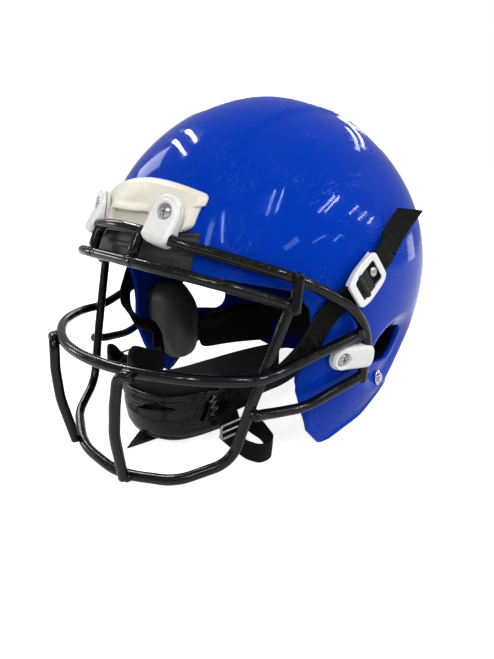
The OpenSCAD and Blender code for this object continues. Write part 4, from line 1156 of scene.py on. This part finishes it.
def buckle_distance(p):
    """A moulded frame with a raised nose over the toothed bar and a cross bar at its rear."""
    x, y, z = p[..., 0], p[..., 1], p[..., 2]
    u = (x + 8.0) / 17
    half = 11.7 - 1.3 * ramp(-u, 0.3, 1.0) + 0.5 * np.cos(u * 3) - 1.0 * ramp(u, 0.5, 1.0)
    corner = np.maximum(np.stack([np.abs(x + 7.75) - 13.2, np.abs(y) - half + 3.4], -1), 0)
    plan = np.linalg.norm(corner, axis=-1) - 3.4
    plan = np.maximum(plan, np.abs(y) - half)
    crown = 3.6 + 0.9 * ramp(-x, 6, 20) - 0.5 * ramp(x, 2, 9)
    body = both_of(plan + 0.9, np.abs(z - crown / 2) - crown / 2 + 0.9, 0.9) - 0.9
    window = box_off(np.stack([x + 7.6, y + 0.4, z], -1), (11.4, 7.5, 20), 2.2)
    body = both_of(body, -window, 0.8)
    way = np.maximum(np.abs(y) - 8.8, z - 2.25)
    return both_of(body, -way, 0.3)


def teeth_distance(p):
    """The black clamp under the nose: a roller with ribs, and its row of teeth."""
    x, y, z = p[..., 0], p[..., 1], p[..., 2]
    ribs = 0.3 * np.cos(y * 2 * math.pi / 2.2)
    roller = np.maximum(np.hypot(x + 13.4, (z - 3.2) * 1.15) - 2.0 - ribs * 0.4, np.abs(y) - 8.2)
    plate = box_off(p - vec(-9.5, 0, 2.95), (4.5, 7.9, 0.45), 0.3)
    gaps = 0.36 - np.abs(((y + 0.8) % 1.6) - 0.8)
    teeth = np.maximum(box_off(p - vec(-16.7, 0, 2.8), (1.4, 8.0, 0.4), 0.1), gaps)
    body = either_of(either_of(roller, plate, 0.8), teeth, 0.3)
    return both_of(body, 2.3 - z, 0.1)


def base_distance(p):
    """The plate under the frame that carries the snap."""
    return box_off(p - vec(0, 0, -0.4), (6.4, 11.4, 0.38), 0.3)


LOOPS = (Place((62.6, -80, 25), (0.1, 0.98, 0), square_to(vec(0.99, -0.1, 0), unit((0.1, 0.98, 0)))),
         Place((-81.3, -79.2, 34.2), (0.1, 0.9, 0.1), square_to(vec(-0.95, 0.1, 0.05), unit((0.1, 0.9, 0.1)))))
LOOP_LINE = [(-11, -1, 1), (-11, 5, 1), (11, 5, 1), (11, -5, 1), (-11, -5, 1), (-11, -1, 1)]
LOOP_BAR = [(-11, 0, 1.1), (0, 0, 1.1), (11, 0, 1.1)]
LOOSE_SNAPS = (Place((69.8, -59.4, 18.2), (1, 0, 0), (-0.2, 0.91, 0.25)),
               Place((-34, -66, 5.2), (1, 0, 0), (0, 0, 1)))


def dress_buckles():
    for side, word in SIDES:
        place = at_stud(STUD_U, STUD_Z, BUCKLE_LIFT, side)
        body = "upper_buckle_" + word
        frame_shape = moulded_at(place, buckle_distance, (-26, -13, -0.6), (11, 13, 5.5), 0.36)
        base = moulded_at(place, base_distance, (-7, -12, -1.2), (7, 12, 0.4), 0.3)
        solid("upper_buckle_frame_" + word, joined(frame_shape, base), WHITE, body, [body])
        clamp = moulded_at(place, teeth_distance, (-19, -9, 1.6), (-4, 9, 5.6), 0.28)
        solid("upper_buckle_clamp_" + word, clamp, TEETH, body)
        rivet = turned(softened(RIVET, 0.3), at_stud(STUD_U, STUD_Z, BUCKLE_LIFT + 2.0, side), 32)
        solid("upper_buckle_rivet_" + word, rivet, SCREW, body)
    for (_, word), place in zip(SIDES, LOOPS):
        loop = wire(route([place.out(q) for q in LOOP_LINE], [2.2] * 4, 12, 2), 0.95, 12, False)
        bar = wire(route([place.out(q) for q in LOOP_BAR], [5], 12, 2), 0.85, 12, False)
        node = ["lower_buckle_" + word]
        solid("lower_buckle_loop_" + word, joined(loop, bar), DARK_STEEL, "loose_strap_" + word, node)
    for (_, word), place in zip(SIDES, LOOSE_SNAPS):
        snap, node = turned(softened(SOCKET), place), ["lower_snap_" + word]
        solid("lower_snap_pressed_" + word, snap, NICKEL, "loose_strap_" + word, node)


# The chin cup
CUP_W, CUP_H, CUP_WALL, CUP_Y, CUP_LOW, CUP_DEPTH, CUP_TURN = 106.0, 46.0, 3.0, -66.0, 8.0, 53.0, 81
# How wide and how high the cup's form is from its lip at 0 to its rim at 1, as shares
CUP_ROWS = [0, 0.1, 0.22, 0.4, 0.62, 0.82, 1]
CUP_WIDTHS, CUP_HEIGHTS = [0.72, 0.82, 0.905, 0.972, 1.0, 0.985, 1.0], [0.07, 0.0, 0.035, 0.2, 0.52, 0.78, 1.0]
LINING_TURN, LINING_GAP, LINING_T = 96, 0.5, 4.2


def cup_rim(a):
    return CUP_LOW + CUP_H - 8 + 4 * ramp(np.abs(a), 30, 78)


def cup_foot(a):
    return CUP_LOW + 5 * ramp(np.abs(a), 30, 78)


def cup_at(a, k, z, grow):
    """A point of the cup's outline at a degrees from its front, scaled by k and grown."""
    s, c = sind(a), cosd(a)
    return np.stack([((CUP_W / 2 - 3) * k + grow) * s, CUP_Y - (CUP_DEPTH * k + grow) * c, z + 0 * s], -1)


def bell(x, at, width):
    return np.exp(-((x - at) / width) ** 2)


def cup_form(a, v):
    """v runs from the lip under the chin at 0 to the top rim at 1."""
    turn = np.abs(a)
    k, h = np.interp(v, CUP_ROWS, CUP_WIDTHS), np.interp(v, CUP_ROWS, CUP_HEIGHTS)
    z = mix(cup_foot(a), cup_rim(a), h)
    bead = 0.5 * bell(v, 0.27, 0.03) * (1 - ramp(turn, 40, 60))
    groove = 1.1 * bell(v, 0.335, 0.012) * ramp(turn, 8, 16) * (1 - ramp(turn, 36, 44))
    collar = 0.8 * ramp(v, 0.83, 0.86)
    lug = 2.0 * (1 - ramp(to_slot(cup_at(a, k, z, 0)), 2.6, 4.6))
    brow = 1.0 * ramp(v, 0.74, 0.78 + 0.1 * bell(turn, 27, 9)) * (1 - ramp(turn, 46, 56)) * (1 - ramp(v, 0.9, 0.96))
    return cup_at(a, k, z, bead - groove + collar + lug + brow)


def to_slot(p):
    """How far a point of the cup is from the edge of its leaning strap slot."""
    x, y, z = np.abs(p[..., 0]), p[..., 1], p[..., 2]
    return np.where(x > 36, np.maximum(np.abs(y + 89 - 0.42 * (z - 38)) - 1.7, np.abs(z - 37) - 10), 9)


def cup_keep(p):
    """Two wide vents with raised middles, and the strap slots in the lugs."""
    x, y, z = np.abs(p[..., 0]), p[..., 1], p[..., 2]
    peak = (z - 43.2 + 0.52 * np.abs(x - 22)) * 0.9
    vent = np.where(y < CUP_Y + 6, np.maximum(peak, 33.8 + 0.11 * (x - 11) - z), 9)
    return np.minimum(vent, to_slot(p)) - 0.6


def dress_cup():
    a, v = np.linspace(-CUP_TURN, CUP_TURN, 240), np.linspace(0, 1, 90)
    shape = sheet_solid(cup_form, cup_keep, a, v, CUP_WALL, 1.1, closed=False)
    solid("chin_cup_shell", shape, CUP, "chin_cup", ["chin_cup"])


def dress_stitches():
    """The uneven stitches that hold the webbing at each lug."""
    parts = []
    for side, _ in SIDES:
        for k in range(22):
            at = 71 + 2.0 * math.sin(7.3 * k) - 3 * abs(k - 8) / 14
            v = 0.52 + k * 0.019
            lean = 1.6 * math.sin(3.1 * k + 1)
            offsets = ((-0.8, -0.01 * lean), (0.8, 0.018 + 0.01 * lean))
            a, b = [cup_form(np.array(side * (at + d)), np.array(v + e)) for d, e in offsets]
            out = unit(a - vec(0, CUP_Y, a[2]))
            line = [a + out * 0.1, mix(a, b, 0.5) + out * (0.8 + 0.3 * math.sin(5 * k)), b + out * 0.1]
            parts.append(wire(route(line, [0.8], 20, 1), 0.3, 8))
    solid("chin_cup_stitches", joined(*parts), THREAD, "chin_cup")


def dress_lining():
    """The soft lining of the cup, with channels across it and a wing that reaches back on the left."""
    a, v = np.linspace(-LINING_TURN, LINING_TURN, 140), np.linspace(0, 1, 40)
    A, V = np.meshgrid(a, v, indexing="xy")
    turn = np.abs(A)
    low = cup_foot(A) + 11 + 10 * ramp(turn, 80, 96)
    high = 58 + 6 * ramp(A, -10, 20) + 7 * ramp(A, 20, 76) + 5 * ramp(-A, 20, 46) - 12 * ramp(-A, 50, 90)
    k = mix(0.93, 0.985, ramp(V, 0, 0.5))
    swell = swelled(np.minimum(np.minimum(V, 1 - V) * 40, (LINING_TURN - turn) * 0.9), 5)
    channel = 0.9 * bell(turn, 34, 2.2) + 0.9 * bell(A, 0, 2.2)
    wing = np.maximum(A - 76, 0) / 16
    reach_back = np.stack([7 * wing ** 2, 30 * wing, 0 * V], -1)
    off = -CUP_WALL - LINING_GAP
    outer = cup_at(A, k, mix(low, high, V), off - 1.2 * (1 - swell)) + reach_back
    inner = cup_at(A, k, mix(low, high, V), off - 1.6 - (LINING_T - channel) * swell) + reach_back
    shape = slab_solid(outer[::-1], inner[::-1])
    solid("chin_cup_lining", shape, KNIT, "chin_cup", ["chin_cup_pad"])


# Padding
def cushion(u1, u2, z1, z2, off, t, corner=0.75):
    """A crowned cushion on the inner side of the shell, with a seam round its foot."""
    turn = np.arange(128) * 2 * math.pi / 128
    cx = np.sign(np.cos(turn)) * np.abs(np.cos(turn)) ** corner
    cy = np.sign(np.sin(turn)) * np.abs(np.sin(turn)) ** corner

    def row(k, depth):
        return shell_point(mix(u1, u2, (cx * k + 1) / 2), mix(z1, z2, (cy * k + 1) / 2), off - depth)

    rings = [row(k, 0.0) for k in (0.02, 0.3, 0.6, 0.85, 0.97)]
    rings += [row(1.0, t * 0.10), row(1.012, t * 0.16), row(1.0, t * 0.22), row(0.985, t * 0.235)]
    for k in np.linspace(0.995, 0.03, 30):
        crown = 0.3 + 0.7 * (1 - k ** 3.2) ** 0.5 + 0.03 * np.sin(cx * 3 + 1) * k * (1 - k)
        rings.append(row(k, t * crown))
    rings = np.array(rings)[:, ::-1]
    return rings_solid(rings, rings[0].mean(0), rings[-1].mean(0))


INNER = -WALL - 0.6
CRUSH = 20.0
JAW_PAD_T, NAPE_PAD_T, NECK_LINING_T, FRONT_PAD_T = 27, 18, 5, 10


def jaw_pad():
    """The left jaw pad, dented where the clip's nut and screw end."""
    points, faces = cushion(59.5, 85.5, 12, 90, INNER - 0.9, JAW_PAD_T)
    q = Place(SIDE_SCREW, SIDE_T, SIDE_N).into(points)
    near = 1 - ramp(np.hypot(q[:, 0], q[:, 1]), 7.2, 8.8)
    dent = np.maximum(q[:, 2] + 13.8, 0) * near * (q[:, 2] < 0) * (q[:, 2] > -15)
    return points - dent[:, None] * SIDE_N, faces


def dress_padding():
    for side, word in SIDES:
        cover = on_side(jaw_pad(), side)
        pad = solid("jaw_pad_cover_" + word, cover, VINYL, "helmet", ["jaw_pad_" + word])
    cover = cushion(142, 218, 14, 62, INNER, NAPE_PAD_T)
    solid("nape_pad_cover", cover, KNIT, "helmet", ["nape_pad"])
    for side, word in SIDES:
        cover = on_side(cushion(92, 141, 9, 47, INNER, NECK_LINING_T, corner=0.3), side)
        solid("neck_lining_" + word, cover, KNIT, "helmet")
    cover = cushion(-34, 34, 154, 186, -WALL - CRUSH - 2.5 - 1.2, FRONT_PAD_T)
    solid("front_pad_cover", cover, KNIT, "helmet", ["front_pad"])


BONNET_OFF, BONNET_T, ABSORBER_R = -WALL - CRUSH, 2.5, 17
# Each absorber's turn and height on the bonnet, how far it sinks in, and how much longer it is for the shell's curve
SPOTS = [(28, 182, 0.1, 0), (0, 212, 0.05, 1), (75, 200, 0, -0.1), (180, 205, 0, 1.2), (80, 140, 0.15, 0.85),
         (128, 175, 0.05, 0.2), (115, 130, 0.5, 1.5), (150, 120, 0.8, 1.45), (180, 150, 0.05, 0.7)]


def bonnet_form(a, t):
    low = mix(mix(152, 112, ramp(-cosd(a), -0.75, -0.1)), 78, ramp(-cosd(a), 0, 0.9))
    top = MID_Z + (CROWN + BONNET_OFF) * 0.99995
    return on_shell(a, mix(low, top, 1 - (1 - np.clip(t, 0, 0.985)) ** 1.6), BONNET_OFF)


def bonnet_keep(p):
    """All of the bonnet's grid is kept."""
    return 0 * p[..., 2] + 5.0


def absorber(u, z, sink, more, side):
    """A ribbed cup between the bonnet and the shell."""
    length = CRUSH - 0.3 - 1 - ABSORBER_R ** 2 / 180 + more
    n = out_of_shell(float(u), float(z), BONNET_OFF)
    place = Place(on_shell(u, z, BONNET_OFF) + n * (0.3 - sink), square_to(vec(0.1, 0.2, 1), n), n, side)
    profile = [(0.1, 0), (13.9, 0)]
    for k in range(1, 4):
        h, r = length * k / 4, ABSORBER_R * mix(0.82, 1, k / 4)
        profile += [(r - 0.1, h - 0.9), (r - 1.6, h), (r - 0.1, h + 0.9)]
    return turned(softened(profile + [(ABSORBER_R - 0.1, length), (0.1, length)], 0.6), place, 40)


def dress_bonnet():
    rows = np.concatenate([np.linspace(0, 0.96, 40), [0.985]])
    shape = sheet_solid(bonnet_form, bonnet_keep, np.arange(0, 360, 3.0), rows, BONNET_T, 0.9, closed=True, steps=4)
    solid("inner_bonnet", shape, BONNET, "helmet", ["bonnet"])
    parts = [absorber(*spot, side) for spot in SPOTS for side, _ in SIDES if side > 0 or spot[0] % 180]
    solid("shock_absorber_cups", joined(*parts), FOAM, "helmet", ["shock_absorbers"])
    nodes["clip_nuts"].data.materials.clear()
    nodes["clip_nuts"].data.materials.append(SCREW)


# Floor, lamps and camera
# How much of the white surroundings a glossy ray sees: the lamps show on dark and blue gloss as in a shop
GLOSSY_WHITE, WORLD_LIGHT, FLOOR_GLOW, FLOOR_HALF, FLOOR_Z = 0.15, 0.27, 0.84, 6, -0.0002


def dress_floor():
    mesh = bpy.data.meshes.new("floor")
    corners = [(x * FLOOR_HALF, y * FLOOR_HALF, FLOOR_Z) for x, y in ((-1, -1), (1, -1), (1, 1), (-1, 1))]
    mesh.from_pydata(corners, [], [(0, 1, 2, 3)])
    floor = bpy.data.objects.new("floor", mesh)
    bpy.context.scene.collection.objects.link(floor)
    look = Finish("floor_white", (0.8, 0.8, 0.8), 0.9, Emission_Strength=1.0, Specular_IOR_Level=0.1)
    rays = ("Is Camera Ray", "Is Glossy Ray")
    by_camera, by_gloss = [look.node("ShaderNodeLightPath", {}, {}, ray) for ray in rays]
    look.plug("Emission Color", look.tint((0, 0, 0), (FLOOR_GLOW,) * 3, by_camera + by_gloss * GLOSSY_WHITE))
    mesh.materials.append(look.material)


def dress_world():
    """A dim even light, behind a white backdrop for the camera."""
    world = bpy.context.scene.world or bpy.data.worlds.new("World")
    bpy.context.scene.world = world
    world.use_nodes = True
    tree = world.node_tree
    tree.nodes.clear()
    out = tree.nodes.new("ShaderNodeOutputWorld")
    light, backdrop = [tree.nodes.new("ShaderNodeBackground") for _ in range(2)]
    light.inputs["Strength"].default_value = WORLD_LIGHT
    for background in (light, backdrop):
        background.inputs["Color"].default_value = (1, 1, 1, 1)
    path, share = tree.nodes.new("ShaderNodeLightPath"), tree.nodes.new("ShaderNodeMixShader")
    seen = path.outputs["Is Camera Ray"]
    for kind, white in (("Is Glossy Ray", GLOSSY_WHITE), ("Is Transmission Ray", 1.0)):
        either = tree.nodes.new("ShaderNodeMath")
        either.operation = "MULTIPLY_ADD"
        tree.links.new(path.outputs[kind], either.inputs[0])
        either.inputs[1].default_value = white
        tree.links.new(seen, either.inputs[2])
        seen = either.outputs[0]
    tree.links.new(seen, share.inputs[0])
    tree.links.new(light.outputs[0], share.inputs[1])
    tree.links.new(backdrop.outputs[0], share.inputs[2])
    tree.links.new(share.outputs[0], out.inputs[0])


CAMERA_AT = vec(0.272207, -0.280, 0.1994)
RIGHT, DOWN, AHEAD = vec(0.714, 0.700, 0.0), vec(0.233, -0.238, -0.943), vec(-0.660, 0.674, -0.333)
# Ceiling tubes, each by the two spots on the shell where the camera sees its ends, its width and its brightness
TUBES = [((-0.5, 212), (11.5, 203), 0.055, 56), ((1.5, 219), (12.5, 211), 0.055, 56),
         ((44, 184), (41.5, 169.5), 0.045, 64), ((47, 184.5), (44, 170.5), 0.045, 64),
         ((65.5, 179.5), (57.5, 170), 0.045, 64), ((67.5, 179), (60, 170), 0.04, 64),
         ((75, 172.5), (70, 168), 0.03, 44), ((78.5, 168), (74, 164.5), 0.03, 50),
         ((82, 165), (78, 161.5), 0.025, 44), ((50.5, 156), (46.5, 150.5), 0.12, 14),
         ((59.5, 157), (55, 153), 0.04, 18), ((65.5, 156.5), (62.5, 153.5), 0.03, 44),
         ((101.5, 223.5), (91.5, 207.5), 0.055, 7), ((111.5, 225), (98, 209), 0.055, 7),
         ((128, 217.5), (125.5, 210.5), 0.05, 4), ((29.5, 171), (30, 154.5), 0.07, 50),
         ((27, 166), (26, 152.5), 0.14, 20)]
TUBE_FAR = 2.2
# Shop windows, each by its turn from the front and height in degrees, its distance, size and brightness
WINDOWS = [(-142, 20, 2.4, (1.4, 0.4), 2.5), (-86, 32, 2.2, (0.5, 0.6), 5), (163, -4, 1.7, (0.25, 0.5), 3),
           (-60, 12, 2.2, (0.4, 0.4), 8)]
# Watts per square metre for a brightness of one
LAMP_POWER = 1.1 * math.pi


def area_lamp(name, at, along, aim, size, glow):
    data = bpy.data.lights.new(name, "AREA")
    data.shape = "RECTANGLE"
    data.size, data.size_y = size
    data.energy = LAMP_POWER * glow * size[0] * size[1]
    lamp = bpy.data.objects.new(name, data)
    bpy.context.scene.collection.objects.link(lamp)
    lamp.visible_camera = False
    way = unit(aim - at)
    along = square_to(along, way)
    across = np.cross(along, way)
    rows = [[along[k], -across[k], -way[k], at[k]] for k in range(3)]
    lamp.matrix_world = Matrix(rows + [[0, 0, 0, 1]])


def mirrored_in_shell(u, z, far):
    """The spot in the room, far metres off, that the camera sees reflected at a spot of the shell."""
    p, e = shell_point(u, z) * 0.001, 0.7
    n = unit(np.cross(shell_point(u + e, z) - shell_point(u - e, z), shell_point(u, z + e) - shell_point(u, z - e)))
    v = unit(p - CAMERA_AT)
    return p + far * (v - 2 * (v @ n) * n)


def dress_lamps():
    for k, (first, last, width, glow) in enumerate(TUBES):
        a, b = mirrored_in_shell(*first, TUBE_FAR), mirrored_in_shell(*last, TUBE_FAR)
        area_lamp("tube_%02d" % k, (a + b) / 2, b - a, vec(0, 0, 0.12), (np.linalg.norm(b - a), width), glow)
    for k, (turn, height, far, size, glow) in enumerate(WINDOWS):
        way = vec(sind(turn) * cosd(height), -cosd(turn) * cosd(height), sind(height))
        aim = vec(0, 0, 0.1)
        area_lamp("window_%02d" % k, aim + way * far, vec(-way[1], way[0], 0), aim, size, glow)


def dress_camera():
    data = bpy.data.cameras.new("view")
    data.sensor_fit, data.sensor_width, data.lens = "HORIZONTAL", 36, 34.615
    data.clip_start = 0.01
    camera = bpy.data.objects.new("view", data)
    bpy.context.scene.collection.objects.link(camera)
    rows = [[RIGHT[k], -DOWN[k], -AHEAD[k], CAMERA_AT[k]] for k in range(3)]
    camera.matrix_world = Matrix(rows + [[0, 0, 0, 1]])
    bpy.context.scene.camera = camera
    bpy.context.scene.view_settings.view_transform = "Standard"


dress_floor()
dress_world()
dress_camera()
dress_lamps()
dress_shell()
dress_guard()
dress_bumper()
dress_trim()
dress_nape()
dress_clips()
dress_straps()
dress_studs()
dress_buckles()
dress_cup()
dress_stitches()
dress_lining()
dress_padding()
dress_bonnet()
